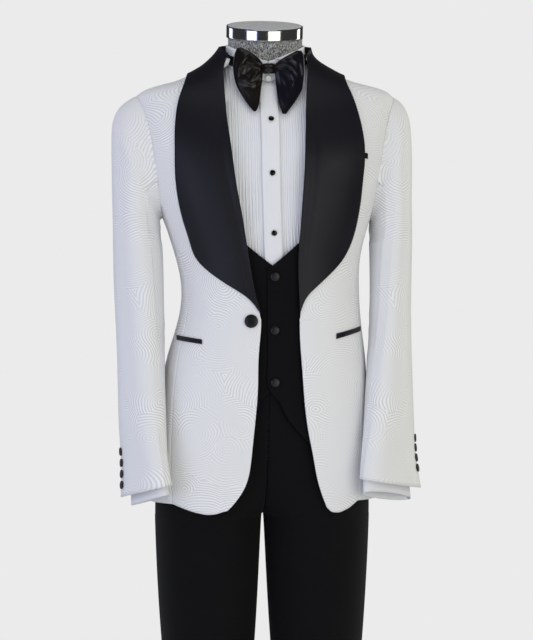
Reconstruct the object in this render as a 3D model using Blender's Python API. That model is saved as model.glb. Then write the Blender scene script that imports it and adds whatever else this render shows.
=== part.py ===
"""A dinner suit on a limbless dress form: jacket, waistcoat, shirt, bow tie and trousers.

Every garment piece is a closed wall of cloth cut to its seams. +Z is up, the front faces -Y and
+X is the wearer's left. Lengths are written in millimetres and turned to metres in each mesh.
"""

import math

import bmesh
import bpy
import numpy as np
from mathutils import Vector

METRES = 0.001
SEAM_GAP = 0.3

# Cloth, as heights above the form's surface: (inner face, outer face).
SHIRT = (1.0, 2.2)
PLACKET = (3.8, 5.0)
TROUSERS_TOP = (4.4, 5.8)
WAISTCOAT = (6.4, 8.0)
WAISTCOAT_OVERLAP = 3.0
# Heights above the jacket's own outer surface.
JACKET = (-2.0, 0.0)
SHAWL = (1.4, 3.0)
TRIM = (0.8, 1.8)

SECTION = "height half_width front back power shift"
JACKET_SECTIONS = (
    (780, 188, 122, 131, 2.35, -5),
    (850, 186, 123, 130, 2.35, -5),
    (930, 178, 121, 126, 2.35, -3),
    (1000, 170, 118, 116, 2.40, 0),
    (1052, 164, 115, 108, 2.35, 3),
    (1086, 157, 113, 102, 2.30, 6),
    (1130, 148.5, 112, 97, 2.30, 9.5),
    (1167, 145.5, 112, 95, 2.30, 10.5),
    (1206, 148, 114, 98, 2.30, 8),
    (1247, 157, 118, 104, 2.35, 6),
    (1287, 171, 122, 112, 2.40, 4),
    (1338, 188, 124, 118, 2.45, 2),
    (1386, 201, 120, 119, 2.50, 2),
    (1436, 210, 106, 112, 2.50, 2),
    (1470, 213.5, 90, 102, 2.40, 2),
    (1487, 212, 79, 97, 2.30, 2),
    (1499, 191, 71, 97, 2.20, 3),
    (1516, 132, 62, 94, 2.10, 2),
    (1532, 101, 58, 90, 2.05, 0),
    (1542, 87.3, 56.5, 87, 2.02, -1.2),
    (1552, 77.4, 55, 84, 2.00, -0.6),
    (1568, 70, 54, 82, 2.00, 2),
    (1600, 67, 53, 81, 2.00, 2),
)
FORM_SECTIONS = (
    (880, 160, 100, 104, 2.40, -3),
    (930, 158, 101, 104, 2.40, -2),
    (1000, 152, 99, 97, 2.35, 0),
    (1052, 146, 97, 90, 2.30, 3),
    (1086, 140, 95, 84, 2.25, 6),
    (1130, 132, 94, 79, 2.25, 9),
    (1167, 130, 94, 77, 2.25, 10),
    (1206, 132, 97, 80, 2.25, 8),
    (1247, 141, 101, 86, 2.30, 6),
    (1287, 155, 105, 92, 2.35, 4),
    (1338, 172, 107, 98, 2.40, 2),
    (1386, 185, 103, 101, 2.45, 2),
    (1436, 193, 89, 94, 2.45, 2),
    (1456, 193, 77, 87, 2.35, 2),
    (1469, 183, 68, 82, 2.25, 2),
    (1482, 150, 60, 77, 2.15, 2),
    (1498, 116, 54, 74, 2.10, 2),
    (1518, 88, 51, 72, 2.05, 2),
    (1543, 66, 49, 71, 2.00, 2),
    (1560, 61.5, 47.5, 70.5, 2.00, 2),
    (1610, 61.5, 46.5, 70.5, 2.00, 2),
)

# Jacket front edge, from the hem's round corner up to the break of the collar: x on the body, height.
RIGHT_EDGE = ((-65, 821), (-51, 838), (-41, 855), (-31, 897), (-25, 955), (-20, 1004), (-19, 1050),
              (-16, 1087), (-15, 1134))
LEFT_EDGE = ((91, 824), (84, 840), (75, 875), (68, 915), (59, 960), (54, 1015), (50, 1075), (48, 1112),
             (48, 1134))
# Hem, from the round corner to the side seam.
RIGHT_HEM = ((-65, 821), (-81, 813), (-100, 810), (-124, 814), (-151, 821))
LEFT_HEM = ((91, 824), (100, 813), (111, 811), (128, 816), (150, 824))
# Roll line of the collar, from the break up to the side of the neck.
RIGHT_ROLL = ((-15, 1134), (-25, 1174), (-32, 1213), (-45, 1292), (-54, 1339), (-62, 1400),
              (-68, 1450), (-70, 1494), (-70, 1524), (-65, 1538), (-59, 1548), (-60, 1556))
LEFT_ROLL = ((48, 1134), (45, 1213), (48, 1273), (51, 1318), (54, 1363), (57, 1423), (60, 1468),
             (64, 1504), (66, 1533), (65, 1555))
# Outer edge of the collar, from the break up to the shoulder seam.
RIGHT_OUTER = ((-15, 1132), (-31, 1154), (-74, 1184), (-97, 1202), (-114, 1221), (-127, 1257),
               (-138, 1292), (-147, 1336), (-150, 1381), (-150, 1425), (-146, 1464), (-141, 1483),
               (-133, 1502), (-128, 1511))
LEFT_OUTER = ((48, 1132), (58, 1157), (80, 1180), (103, 1202), (122, 1225), (135, 1255), (143, 1288),
              (149, 1334), (152, 1379), (152, 1407), (148, 1443), (141, 1469),
              (135, 1489), (129, 1506), (127, 1512))

# Armhole: an oval seen from the side, laid on the body: (centre height, half height, half depth).
JACKET_ARMHOLE = (1387, 99, 61)
SHIRT_ARMHOLE = (1372, 88, 54)
WAISTCOAT_ARMHOLE = (1365, 100, 66)

# Sleeve stations, from the armhole to the cuff. lean turns the ring's plane from level to upright;
# turn swings its long side inwards at the front; rise lifts its front edge.
STATION = "centre_x height lean thick long depth turn rise"
RIGHT_SLEEVE = (
    (192, 1386.8, 78, 102, 61, 0, 0, 0),
    (205.5, 1375, 69.9, 98, 62, 0, 0, 0),
    (210, 1360, 64.8, 90, 64, 0, 0, 0),
    (210.5, 1343, 60.6, 81, 65, 1, 0, 0),
    (210.5, 1319, 53.7, 67, 66, 2, 0, 0),
    (210, 1292, 42, 53.5, 67, 2, 0, 0),
    (209, 1265, 24.2, 43.5, 67, 1, 2, 0),
    (207.5, 1232, 3.5, 40, 67, 0, 4, 0),
    (205.5, 1150, 0, 39, 66, -6, 8, 0),
    (204, 1050, 0, 36.5, 66, -22, 12, 0),
    (203, 955, 0, 34, 66, -53, 17, 2),
    (201, 897, -3, 29.5, 67, -74.5, 21, 5),
    (198.3, 846.5, -9, 32, 68, -88, 25, 9),
)
LEFT_SLEEVE = (
    (190, 1386.8, 78, 102, 61, 0, 0, 0),
    (202, 1379, 73.7, 99, 62, 0, 0, 0),
    (207.5, 1364, 69.3, 91, 64, 0, 0, 0),
    (209.5, 1343, 64.2, 78, 65, 1, 0, 0),
    (210, 1317, 56.4, 63, 66, 2, 0, 0),
    (210.5, 1290, 44.6, 48, 66, 2, 1, 0),
    (210.5, 1263, 25.6, 39, 66, 1, 3, 0),
    (210.5, 1232, 4.2, 35.5, 66, 0, 6, 0),
    (209, 1127, 0, 34, 66, -10, 12, 0),
    (205, 1040, 0, 36.2, 66, -28, 20, 0),
    (201.5, 960, 0, 35, 67, -50, 30, 2),
    (199, 907, -2, 31, 70, -65, 38, 4),
    (200.5, 855, -6, 29, 74.5, -78, 45, 6),
)
SHIRT_SLEEVE_INSET, SHIRT_CAP_INSET = 9.0, 5.0
CUFF_INSET, CUFF_SHIFT = 4.0, 6.0
ARMHOLE_CLEARANCE, SHIRT_ARMHOLE_CLEARANCE = 1.2, 3.0
# How far a shirt cuff hangs below its sleeve, and by how much of that more at the inside of the arm.
RIGHT_CUFF_DROP, LEFT_CUFF_DROP = (14.5, 0.0), (20.5, 0.32)
# Cuff buttons on a sleeve: their clock angle, the first one's station, the step to the next and the gap.
RIGHT_CUFF_BUTTONS = (-24, 10.74, 0.31, 0.5)
LEFT_CUFF_BUTTONS = (-42, 10.58, 0.29, -0.2)

# Trouser leg sections about the leg's own axis: inner and outer half widths, front and back depths.
LEG_AXIS, LEG_SHIFT = 88, -3
LEG = "height inner outer front back"
LEG_SECTIONS = (
    (35, 50, 54, 76, 80),
    (200, 54, 58, 74, 80),
    (450, 65, 68, 80, 84),
    (590, 75, 79, 90, 94),
    (700, 82, 85, 95, 102),
    (800, 87.7, 89, 99, 108),
    (812, 96, 89, 100, 109),
    (830, 120, 88.5, 100, 109),
    (860, 190, 87, 100, 108),
    (900, 420, 82, 100, 106),
    (1060, 900, 66, 102, 98),
)
WAIST_BAND = (1012, 1050)

# Bow halves, seen from the front, measured from the knot's centre.
BOW = "height outer inner bulge depth"
RIGHT_BOW = (
    (1562, 50, 43, 2.0, 60), (1553, 54.5, 26, 5.0, 62), (1539, 57, 11.5, 6.0, 65),
    (1529, 57.5, 9.5, 6.0, 66), (1515, 56, 10, 6.5, 67), (1500, 52, 12, 6.5, 69),
    (1482, 43, 14.5, 5.0, 75), (1466, 33, 18, 3.0, 83), (1458, 26.5, 22.5, 1.6, 87),
)
LEFT_BOW = (
    (1558, 54, 46, 2.0, 61), (1550, 58, 31, 5.0, 63), (1536, 59, 11.0, 6.0, 65),
    (1524, 58.5, 9.6, 6.0, 66), (1504, 56, 11, 6.5, 68), (1493, 53.5, 12, 6.5, 71),
    (1477, 44, 14, 5.0, 77), (1464, 34, 17, 3.0, 84), (1454, 26.5, 20.5, 1.6, 89),
)
BOW_CENTRE = (2, -67, 1528)
# The knot's rings: height from its middle, half width and half depth.
BOW_KNOT = ((8, 6.5, 8), (5.5, 9.1, 11.6), (0, 8.6, 11.8), (-5.5, 9.1, 11.6), (-8, 6.5, 8))

FINISHES = {
    "jacket_cloth": ("#D9DCE3", 0.85, 0.0),
    "satin": ("#17181D", 0.35, 0.0),
    "black_cloth": ("#101014", 0.80, 0.0),
    "shirt_cloth": ("#DADDE5", 0.80, 0.0),
    "black_button": ("#0C0C0E", 0.30, 0.0),
    "pearl": ("#D6D8DC", 0.25, 0.0),
    "form_cloth": ("#6E6F74", 0.90, 0.0),
    "chrome": ("#B9BCC2", 0.18, 1.0),
    "stand_steel": ("#8F9196", 0.35, 1.0),
}


# ---------------------------------------------------------------- tables and curves


def columns(names, rows):
    """The rows of a table as one array for each named column."""
    return dict(zip(names.split(), np.array(rows, float).T))


def smooth_slopes(xs, ys):
    """Slopes at the knots that keep a cubic through them free of overshoot."""
    steps = np.diff(xs)
    rises = np.diff(ys) / steps
    slopes = np.zeros(len(ys))
    slopes[0], slopes[-1] = rises[0], rises[-1]
    for i in range(1, len(ys) - 1):
        before, after = rises[i - 1], rises[i]
        if before * after > 0:
            near, far = 2 * steps[i] + steps[i - 1], steps[i] + 2 * steps[i - 1]
            slopes[i] = (near + far) / (near / before + far / after)
    return slopes


def smooth(xs, ys, at):
    """Cubic through (xs, ys), read at the values of an array."""
    at = np.clip(np.asarray(at, float), xs[0], xs[-1])
    slopes = smooth_slopes(xs, ys)
    i = np.clip(np.searchsorted(xs, at, side="right") - 1, 0, len(xs) - 2)
    step = xs[i + 1] - xs[i]
    t = (at - xs[i]) / step
    start = ys[i] * (2 * t**3 - 3 * t**2 + 1) + slopes[i] * step * (t**3 - 2 * t**2 + t)
    return start + ys[i + 1] * (3 * t**2 - 2 * t**3) + slopes[i + 1] * step * (t**3 - t**2)


def ease(value, start, end):
    """0 before start, 1 after end, and a smooth step between them."""
    t = np.clip((np.asarray(value, float) - start) / (end - start), 0, 1)
    return t * t * (3 - 2 * t)


def smooth_path(points, count=400):
    """A smooth curve through the points, as many close ones."""
    points = np.array(points, float)
    lengths = np.append(0, np.cumsum(np.linalg.norm(np.diff(points, axis=0), axis=1)))
    fine = np.linspace(0, lengths[-1], count)
    return np.column_stack([smooth(lengths, column, fine) for column in points.T])


def joined(*parts):
    """Curves end to end as one, with each shared point kept once."""
    return np.vstack([parts[0]] + [part[1:] for part in parts[1:]])


def line(start, end, count):
    """count + 1 points from start to end."""
    return np.linspace(start, end, count + 1)


def patch(bottom, top, left, right, levels=None):
    """A grid between four border curves: rows run from bottom to top, columns from left to right."""
    u = np.linspace(0, 1, len(bottom))[None, :, None]
    v = (np.linspace(0, 1, len(left)) if levels is None else np.array(levels))[:, None, None]
    across = (1 - u) * left[:, None] + u * right[:, None]
    upward = (1 - v) * bottom[None] + v * top[None]
    corners = (1 - v) * ((1 - u) * bottom[0] + u * bottom[-1]) + v * ((1 - u) * top[0] + u * top[-1])
    return across + upward - corners


# ---------------------------------------------------------------- bodies that cloth follows


class Skin:
    """A body of level sections, each a superellipse with its own half width, front and back.

    A place on it is (angle, height): angle 0 is the centre front and +90 the wearer's left side.
    """

    def __init__(self, rows):
        """rows are the tabled sections, from the lowest up."""
        self.table = columns(SECTION, rows)

    def section(self, height):
        """Half width, front, back, power and shift at a height."""
        heights = self.table["height"]
        return [smooth(heights, self.table[name], height) for name in SECTION.split()[1:]]

    def excess(self, x, y, height):
        """Below zero inside the body, above zero outside it."""
        half_width, front, back, power, shift = self.section(height)
        depth = np.where(y < 0, front, back)
        return (np.abs(x - shift) / half_width) ** power + (np.abs(y) / depth) ** power - 1

    def normal(self, x, y, height):
        """Unit vectors that point out of the body."""
        step = 0.05
        slope = np.stack([
            self.excess(x + step, y, height) - self.excess(x - step, y, height),
            self.excess(x, y + step, height) - self.excess(x, y - step, height),
            self.excess(x, y, height + step) - self.excess(x, y, height - step),
        ], axis=-1)
        return slope / np.linalg.norm(slope, axis=-1, keepdims=True)

    def surface(self, places):
        """Points of the body at an array of (angle, height)."""
        angle, height = np.radians(places[..., 0]), places[..., 1]
        half_width, front, back, power, shift = self.section(height)
        depth = np.where(np.cos(angle) > 0, front, back)
        reach = (np.abs(np.sin(angle)) / half_width) ** power + (np.abs(np.cos(angle)) / depth) ** power
        reach = reach ** (-1 / power)
        return np.stack([shift + reach * np.sin(angle), -reach * np.cos(angle), height], axis=-1)

    def lifted(self, places, lift):
        """Points at a height above the body, which may differ from place to place."""
        points = self.surface(places)
        normals = self.normal(points[..., 0], points[..., 1], points[..., 2])
        return points + normals * np.broadcast_to(lift, points.shape[:-1])[..., None]

    def front_place(self, points):
        """The (angle, height) of points given as (x, height) on the front half."""
        points = np.array(points, float)
        half_width, front, _, power, shift = self.section(points[..., 1])
        x = points[..., 0] - shift
        share = np.clip(np.abs(x) / half_width, 0, 1)
        y = front * (1 - share**power) ** (1 / power)
        return np.stack([np.degrees(np.arctan2(x, y)), points[..., 1]], axis=-1)

    def spaced(self, path, count):
        """count + 1 places along a path of close ones, evenly spaced on the body."""
        steps = np.linalg.norm(np.diff(self.surface(path), axis=0), axis=1)
        travelled = np.append(0, np.cumsum(steps))
        stops = np.linspace(0, travelled[-1], count + 1)
        return np.column_stack([np.interp(stops, travelled, column) for column in path.T])

    def curve(self, places, count):
        """A smooth curve through places."""
        return self.spaced(smooth_path(places), count)

    def front_curve(self, points, count, then=()):
        """A smooth curve through (x, height) points on the front, and then through places."""
        path = self.front_place(smooth_path(points))
        if len(then):
            path = np.vstack([path[:-1], smooth_path(np.vstack([path[-1:], then]), 200)])
        return self.spaced(path, count)

    def ridge_height(self, half_width):
        """The height at which the shoulder ridge is this far from the centre."""
        heights = np.linspace(1470, 1570, 400)
        widths = self.section(heights)[0]
        return float(np.interp(half_width, widths[::-1], heights[::-1]))

    def armhole(self, oval, side, start, end, count):
        """Places on an armhole, from one clock angle to another: 0 is the top and 90 the front."""
        middle, half_height, half_depth = oval
        clock = np.radians(np.linspace(start, end, count + 1))
        height = middle + half_height * np.cos(clock)
        y = -half_depth * np.sin(clock)
        half_width, front, back, power, shift = self.section(height)
        depth = np.where(y < 0, front, back)
        x = side * half_width * (1 - (np.abs(y) / depth) ** power) ** (1 / power)
        angle = np.degrees(np.arctan2(x, -y))
        return np.column_stack([angle, height])


class Sleeve:
    """A bent tube from an armhole to a cuff. clock 0 is outwards, 90 front, 180 inwards, 270 back."""

    def __init__(self, body, oval, side, rows, clearance, under=0.0):
        """under is 0 for a sleeve as tabled, and 1 for the slimmer one worn inside it."""
        self.body, self.oval, self.side = body, oval, side
        self.table = columns(STATION, rows)
        self.last = len(rows) - 1
        self.clearance, self.under = clearance, under

    def station(self, at):
        """The station's values, in the table's order, between two of its rows."""
        stops = np.arange(self.last + 1.0)
        return [smooth(stops, self.table[name], at) for name in STATION.split()]

    def points(self, clock, at):
        """Points of the outer surface: clock in degrees, at in stations from 0 at the armhole."""
        clock, at = np.broadcast_arrays(np.asarray(clock, float), np.asarray(at, float))
        x, height, lean, thick, long_half, depth, turn, rise = self.station(at)
        round_clock, lean, turn = np.radians(clock), np.radians(lean), np.radians(turn)
        cap, cuff = 1 - ease(at, 4, 8), ease(at, 8, 11)
        inset = self.under * (SHIRT_SLEEVE_INSET + SHIRT_CAP_INSET * cap + CUFF_INSET * cuff)
        x = x - self.under * CUFF_SHIFT * cuff
        thick, long_half = thick - inset, long_half - inset
        over = thick * np.cos(round_clock) * np.cos(turn) - long_half * np.sin(round_clock) * np.sin(turn)
        ahead = thick * np.cos(round_clock) * np.sin(turn) + long_half * np.sin(round_clock) * np.cos(turn)
        tube = np.stack([
            self.side * (x + over * np.cos(lean)),
            depth - ahead,
            height + over * np.sin(lean) + rise * np.sin(round_clock),
        ], axis=-1)
        blend = ease(at, 0, 1.4)[..., None]
        return (1 - blend) * self.armhole_points(clock) + blend * tube

    def armhole_points(self, clock):
        """The armhole itself, just clear of the body's outer face."""
        flat = np.ravel(clock)
        places = np.vstack([self.body.armhole(self.oval, self.side, c, c, 1)[:1] for c in flat])
        points = self.body.surface(places)
        points[:, 0] += self.side * self.clearance
        return points.reshape(np.shape(clock) + (3,))

    def lifted(self, clock, at, lift):
        """Points above (or, below zero, inside) the outer surface."""
        clock, at = np.broadcast_arrays(np.asarray(clock, float), np.asarray(at, float))
        near, far = np.clip(at - 0.02, 0, self.last), np.clip(at + 0.02, 0, self.last)
        round_way = self.points(clock + 0.5, at) - self.points(clock - 0.5, at)
        down_way = self.points(clock, far) - self.points(clock, near)
        normal = np.cross(round_way, down_way) * self.side
        normal /= np.linalg.norm(normal, axis=-1, keepdims=True)
        return self.points(clock, at) + normal * lift


# ---------------------------------------------------------------- meshes


def linear(channel):
    """An sRGB channel from 0 to 1 as linear light."""
    return channel / 12.92 if channel <= 0.04045 else ((channel + 0.055) / 1.055) ** 2.4


def material(name):
    """The named finish as a Principled material, made once."""
    found = bpy.data.materials.get(name)
    if found:
        return found
    colour, roughness, metallic = FINISHES[name]
    made = bpy.data.materials.new(name)
    made.use_nodes = True
    shader = made.node_tree.nodes["Principled BSDF"]
    channels = [linear(int(colour[i:i + 2], 16) / 255) for i in (1, 3, 5)]
    shader.inputs["Base Color"].default_value = (*channels, 1)
    shader.inputs["Roughness"].default_value = roughness
    shader.inputs["Metallic"].default_value = metallic
    return made


def link(mesh, name, finish):
    """An object of this mesh in the scene."""
    thing = bpy.data.objects.new(name, mesh)
    bpy.context.scene.collection.objects.link(thing)
    if not mesh.materials:
        mesh.materials.append(material(finish))
    return thing


def finished(bm, name):
    """The bmesh as a smooth shaded mesh with its faces pointing out."""
    bmesh.ops.recalc_face_normals(bm, faces=bm.faces)
    if bm.calc_volume(signed=True) < 0:
        bmesh.ops.reverse_faces(bm, faces=bm.faces)
    mesh = bpy.data.meshes.new(name)
    bm.to_mesh(mesh)
    bm.free()
    mesh.shade_smooth()
    mesh.set_sharp_from_angle(angle=math.radians(50))
    return mesh


def quads(bm, grid, wrap):
    """A grid of vertices and its faces; wrap joins the last column to the first."""
    rows = [[bm.verts.new(point * METRES) for point in row] for row in grid]
    width = len(rows[0])
    for lower, upper in zip(rows, rows[1:]):
        for j in range(width if wrap else width - 1):
            k = (j + 1) % width
            bm.faces.new((lower[j], lower[k], upper[k], upper[j]))
    return rows


def border(rows, wrap):
    """The rim of a grid, as one loop, or two where the grid wraps."""
    if wrap:
        return [rows[0] + rows[0][:1], rows[-1] + rows[-1][:1]]
    right = [row[-1] for row in rows[1:]]
    left = [row[0] for row in rows[-2:0:-1]]
    return [rows[0] + right + rows[-1][-2::-1] + left + rows[0][:1]]


def wall(name, outer, inner, finish, wrap=False):
    """A closed wall of cloth between an outer and an inner grid of points."""
    bm = bmesh.new()
    faces = [quads(bm, grid, wrap) for grid in (outer, inner)]
    for over, under in zip(border(faces[0], wrap), border(faces[1], wrap)):
        for i in range(len(over) - 1):
            bm.faces.new((over[i], over[i + 1], under[i + 1], under[i]))
    return link(finished(bm, name), name, finish)


def seam_pull(points, gap=SEAM_GAP / 2):
    """The grid with its four borders drawn in by half a seam gap."""
    pulled = points.copy()
    for edge, inside in ((0, 1), (-1, -2)):
        step = points[inside] - points[edge]
        pulled[edge] += gap * step / np.linalg.norm(step, axis=-1, keepdims=True)
        step = points[:, inside] - points[:, edge]
        pulled[:, edge] += gap * step / np.linalg.norm(step, axis=-1, keepdims=True)
    return pulled


def panel(name, skin, places, lifts, finish, raise_by=0.0):
    """A piece of cloth on a body: a grid of places and the heights of its two faces."""
    inner, outer = (seam_pull(skin.lifted(places, lift + raise_by)) for lift in lifts)
    return wall(name, outer, inner, finish)


def turned(name, profile, segments):
    """A mesh of (radius, height) rows, from one end of the axis to the other, turned about Z."""
    bm = bmesh.new()
    verts = [bm.verts.new((radius * METRES, 0, height * METRES)) for radius, height in profile]
    edges = [bm.edges.new(pair) for pair in zip(verts, verts[1:])]
    bmesh.ops.spin(bm, geom=verts + edges, axis=(0, 0, 1), cent=(0, 0, 0), steps=segments,
                   angle=2 * math.pi, use_merge=True)
    bmesh.ops.remove_doubles(bm, verts=bm.verts, dist=1e-6)
    return finished(bm, name)


def stacked(name, rings, finish):
    """A solid through closed rings of points, with flat ends."""
    bm = bmesh.new()
    rows = quads(bm, rings, wrap=True)
    bm.faces.new(rows[0])
    bm.faces.new(rows[-1])
    return link(finished(bm, name), name, finish)


def seated(mesh, name, finish, point, normal, clearance=SEAM_GAP):
    """A turned piece that sits on a surface with its axis along the normal."""
    thing = link(mesh, name, finish)
    direction = Vector(normal)
    thing.location = (Vector(point) + direction * clearance) * METRES
    thing.rotation_euler = direction.to_track_quat("Z", "Y").to_euler()
    return thing


def button_profile(diameter, thickness):
    """A flat button with a raised rim."""
    radius = diameter / 2
    return ((0, 0), (radius * 0.85, 0), (radius, thickness * 0.5), (radius * 0.86, thickness),
            (0, thickness * 0.72))


def on_skin(skin, place, lift):
    """A point above a body and the direction out of it."""
    place = np.array(place, float)
    point = skin.lifted(place, lift)
    normal = skin.lifted(place, lift + 1) - point
    return point, normal


# ---------------------------------------------------------------- dress form and stand

FORM = Skin(FORM_SECTIONS)
BODY = Skin(JACKET_SECTIONS)
FORM_BOTTOM, FORM_TOP = 896, 1584.5
FORM_EASE, SHOULDER_EASE, NECK_EASE = 6.0, 25.0, 0.3
NECK_TILT = 11.5
NECK_CENTRE = (2, 14)
NECK_BAND_RADIUS, NECK_BAND_HEIGHT = 63, 18.8
POLE_RADIUS, BASE_RADIUS, BASE_THICKNESS = 14, 205, 10


def make_form():
    """The padded torso, its chrome neck band and cap."""
    angles = np.linspace(-180, 180, 25)[:-1]
    heights = np.concatenate([np.linspace(FORM_BOTTOM, 1410, 6),
                              [1440, 1460, 1476, 1494, 1514, 1530, 1545, 1560, FORM_TOP]])
    places = np.stack(np.meshgrid(angles, heights), axis=-1)
    level = places[..., 1]
    relief = (FORM_EASE + SHOULDER_EASE * ease(level, 1260, 1390)) * (1 - ease(level, 1500, 1552))
    rings = FORM.lifted(places, -NECK_EASE - relief)
    lean = np.tan(np.radians(NECK_TILT)) * ease(heights, 1520, 1570)[:, None]
    rings[..., 2] += lean * (rings[..., 1] - NECK_CENTRE[1])
    stacked("form_torso", rings, "form_cloth")

    top = FORM_TOP + SEAM_GAP
    tilt = math.radians(NECK_TILT)
    band = turned("form_neck_band", ((0, 0), (NECK_BAND_RADIUS, 0), (NECK_BAND_RADIUS, NECK_BAND_HEIGHT),
                                     (0, NECK_BAND_HEIGHT)), 28)
    cap = turned("form_neck_cap", ((0, 0), (61, 0), (60, 1.2), (0, 2.4)), 28)
    for mesh, finish, height in ((band, "chrome", top), (cap, "form_cloth", top + NECK_BAND_HEIGHT + 0.3)):
        thing = link(mesh, mesh.name, finish)
        along_neck = height - top
        thing.location = Vector((NECK_CENTRE[0], NECK_CENTRE[1] - along_neck * math.sin(tilt),
                                 top + along_neck * math.cos(tilt))) * METRES
        thing.rotation_euler = (tilt, 0, 0)


def make_stand():
    """A round base plate and a pole up each trouser leg to the form."""
    base = turned("stand_base", ((0, 0), (BASE_RADIUS - 2, 0), (BASE_RADIUS, 2),
                                 (BASE_RADIUS - 3, BASE_THICKNESS), (0, BASE_THICKNESS)), 32)
    link(base, "stand_base", "stand_steel")
    foot = BASE_THICKNESS + SEAM_GAP
    length = FORM_BOTTOM - SEAM_GAP - foot
    pole = turned("stand_pole", ((0, 0), (26, 0), (26, 4), (POLE_RADIUS, 12), (POLE_RADIUS, length),
                                 (0, length)), 14)
    for name, side in (("stand_pole_right", -1), ("stand_pole_left", 1)):
        thing = link(pole, name, "stand_steel")
        thing.location = Vector((side * LEG_AXIS, 0, foot)) * METRES


# ---------------------------------------------------------------- shirt

TUCKS, TUCK_PITCH, TUCK_DEPTH, FIRST_TUCK = 10, 5.0, 1.0, 16.0
SHIRT_LEVELS = (0, 0.33, 0.534, 0.716, 0.80, 0.879, 0.94, 1)
ARMHOLE_ROWS = 3
SHIRT_BOTTOM, SHIRT_BACK_EASE = 985, 0.4
NECKLINE = ((0, 1506), (45, 1520), (90, 1541), (180, 1545))
PLACKET_WIDTH = 30
STUD_HEIGHTS = (1443, 1358, 1263)


def round_neck(rows, angles):
    """Height of an edge at each angle round the neck, the same on both sides."""
    table = columns("angle height", rows)
    return smooth(table["angle"], table["height"], np.abs(angles))


def neckline(start, end, count):
    """Places along the shirt's neckline from one angle to another."""
    angles = np.linspace(start, end, 200)
    return FORM.spaced(np.column_stack([angles, round_neck(NECKLINE, (angles + 180) % 360 - 180)]), count)


def neck_height(x):
    """Height of the shirt's neckline, or of its shoulder seam, at a distance from the centre."""
    places = neckline(0, 90, 100)
    out = FORM.surface(places)[:, 0] - FORM.section(places[:, 1])[4]
    return float(np.interp(x, out, places[:, 1])) if x < out[-1] else FORM.ridge_height(x)


def tucked_columns():
    """(distance from the centre, lift) of each column across the tucks."""
    rows = [(0.8, 0.0), (FIRST_TUCK - 0.6, 0.0)]
    for k in range(TUCKS):
        start = FIRST_TUCK + k * TUCK_PITCH
        rows += [(start, 0.0), (start + TUCK_PITCH - 0.6, TUCK_DEPTH)]
    rows.append((FIRST_TUCK + TUCKS * TUCK_PITCH, 0.0))
    return rows


def shirt_front_places(side):
    """Places and lifts of one front: straight tucks beside the placket, then plain cloth to the side."""
    levels = np.array(SHIRT_LEVELS)
    tucked, lifts = [], []
    for x, lift in tucked_columns():
        heights = SHIRT_BOTTOM + (neck_height(x) - SHIRT_BOTTOM) * levels
        shift = FORM.section(heights)[4]
        tucked.append(FORM.front_place(np.column_stack([side * x + shift, heights])))
        lifts.append(lift)
    edge = tucked[-1]
    ridge, shoulder = (side * 90, float(edge[-1, 1])), (side * 90, armhole_top(SHIRT_ARMHOLE))
    edge[-1] = ridge
    plain_columns = 5
    arm = FORM.armhole(SHIRT_ARMHOLE, side, 180, 0, ARMHOLE_ROWS)
    outside = joined(side_seam(side * 88, arm[0]), arm)
    plain = patch(FORM.curve((edge[0], outside[0]), plain_columns),
                  FORM.curve((ridge, shoulder), plain_columns), edge, outside, levels)
    places = np.concatenate([np.stack(tucked, axis=1), plain[:, 1:]], axis=1)
    return places, np.array(lifts + [0.0] * plain_columns)


def side_seam(angle, foot):
    """Places up the shirt's side, from its hem to the armhole."""
    levels = np.array(SHIRT_LEVELS[:-ARMHOLE_ROWS]) / SHIRT_LEVELS[-1 - ARMHOLE_ROWS]
    heights = SHIRT_BOTTOM + (foot[1] - SHIRT_BOTTOM) * levels
    return np.column_stack([angle + (foot[0] - angle) * levels, heights])


def armhole_top(oval):
    """Height of an armhole's highest point."""
    return oval[0] + oval[1]


def make_shirt():
    """Fronts, back, placket, collar, sleeves, cuffs, studs and the collar button."""
    for name, side in (("right", -1), ("left", 1)):
        places, lifts = shirt_front_places(side)
        inner = seam_pull(FORM.lifted(places, SHIRT[0]))
        outer = seam_pull(FORM.lifted(places, SHIRT[1] + lifts))
        wall(f"shirt_front_{name}", outer, inner, "shirt_cloth")

    across = 14
    top = armhole_top(SHIRT_ARMHOLE)
    sides = []
    for angle, side in ((88, 1), (272, -1)):
        arm = back_armhole(FORM, SHIRT_ARMHOLE, side, ARMHOLE_ROWS)
        sides.append(joined(side_seam(angle, arm[0]), arm))
    neck = neckline(90, 270, 6)
    upper = joined(FORM.curve(((90, top), neck[0]), 4), neck, FORM.curve((neck[-1], (270, top)), 4))
    hem = FORM.curve(((88, SHIRT_BOTTOM), (272, SHIRT_BOTTOM)), across)
    places = patch(hem, upper, sides[0], sides[1], SHIRT_LEVELS)
    panel("shirt_back", FORM, places, SHIRT, "shirt_cloth", -SHIRT_BACK_EASE)

    top = NECKLINE[0][1] - SEAM_GAP
    heights = SHIRT_BOTTOM + (top - SHIRT_BOTTOM) * np.array(SHIRT_LEVELS[1:])
    strips = [FORM.front_place(np.column_stack([x + FORM.section(heights)[4], heights]))
              for x in (-PLACKET_WIDTH / 2, -5, 5, PLACKET_WIDTH / 2)]
    panel("shirt_placket", FORM, np.stack(strips, axis=1), PLACKET, "shirt_cloth")

    stud = turned("shirt_stud", button_profile(9.5, 2.6), 10)
    for number, height in enumerate(STUD_HEIGHTS, 1):
        point, normal = on_skin(FORM, (1.2, height), PLACKET[1])
        seated(stud, f"shirt_stud_{number}", "black_button", point, normal)
    make_collar()
    make_shirt_sleeves()


def back_armhole(skin, oval, side, count):
    """The back half of an armhole, from its foot to its top, with angles that run on past 90."""
    places = skin.armhole(oval, side, 180, 360, count)
    places[:, 0] %= 360
    return places


COLLAR = (1.4, 3.4)
COLLAR_HIGH = ((0, 1541), (20, 1546), (45, 1556), (75, 1567), (90, 1571), (180, 1575))


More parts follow.
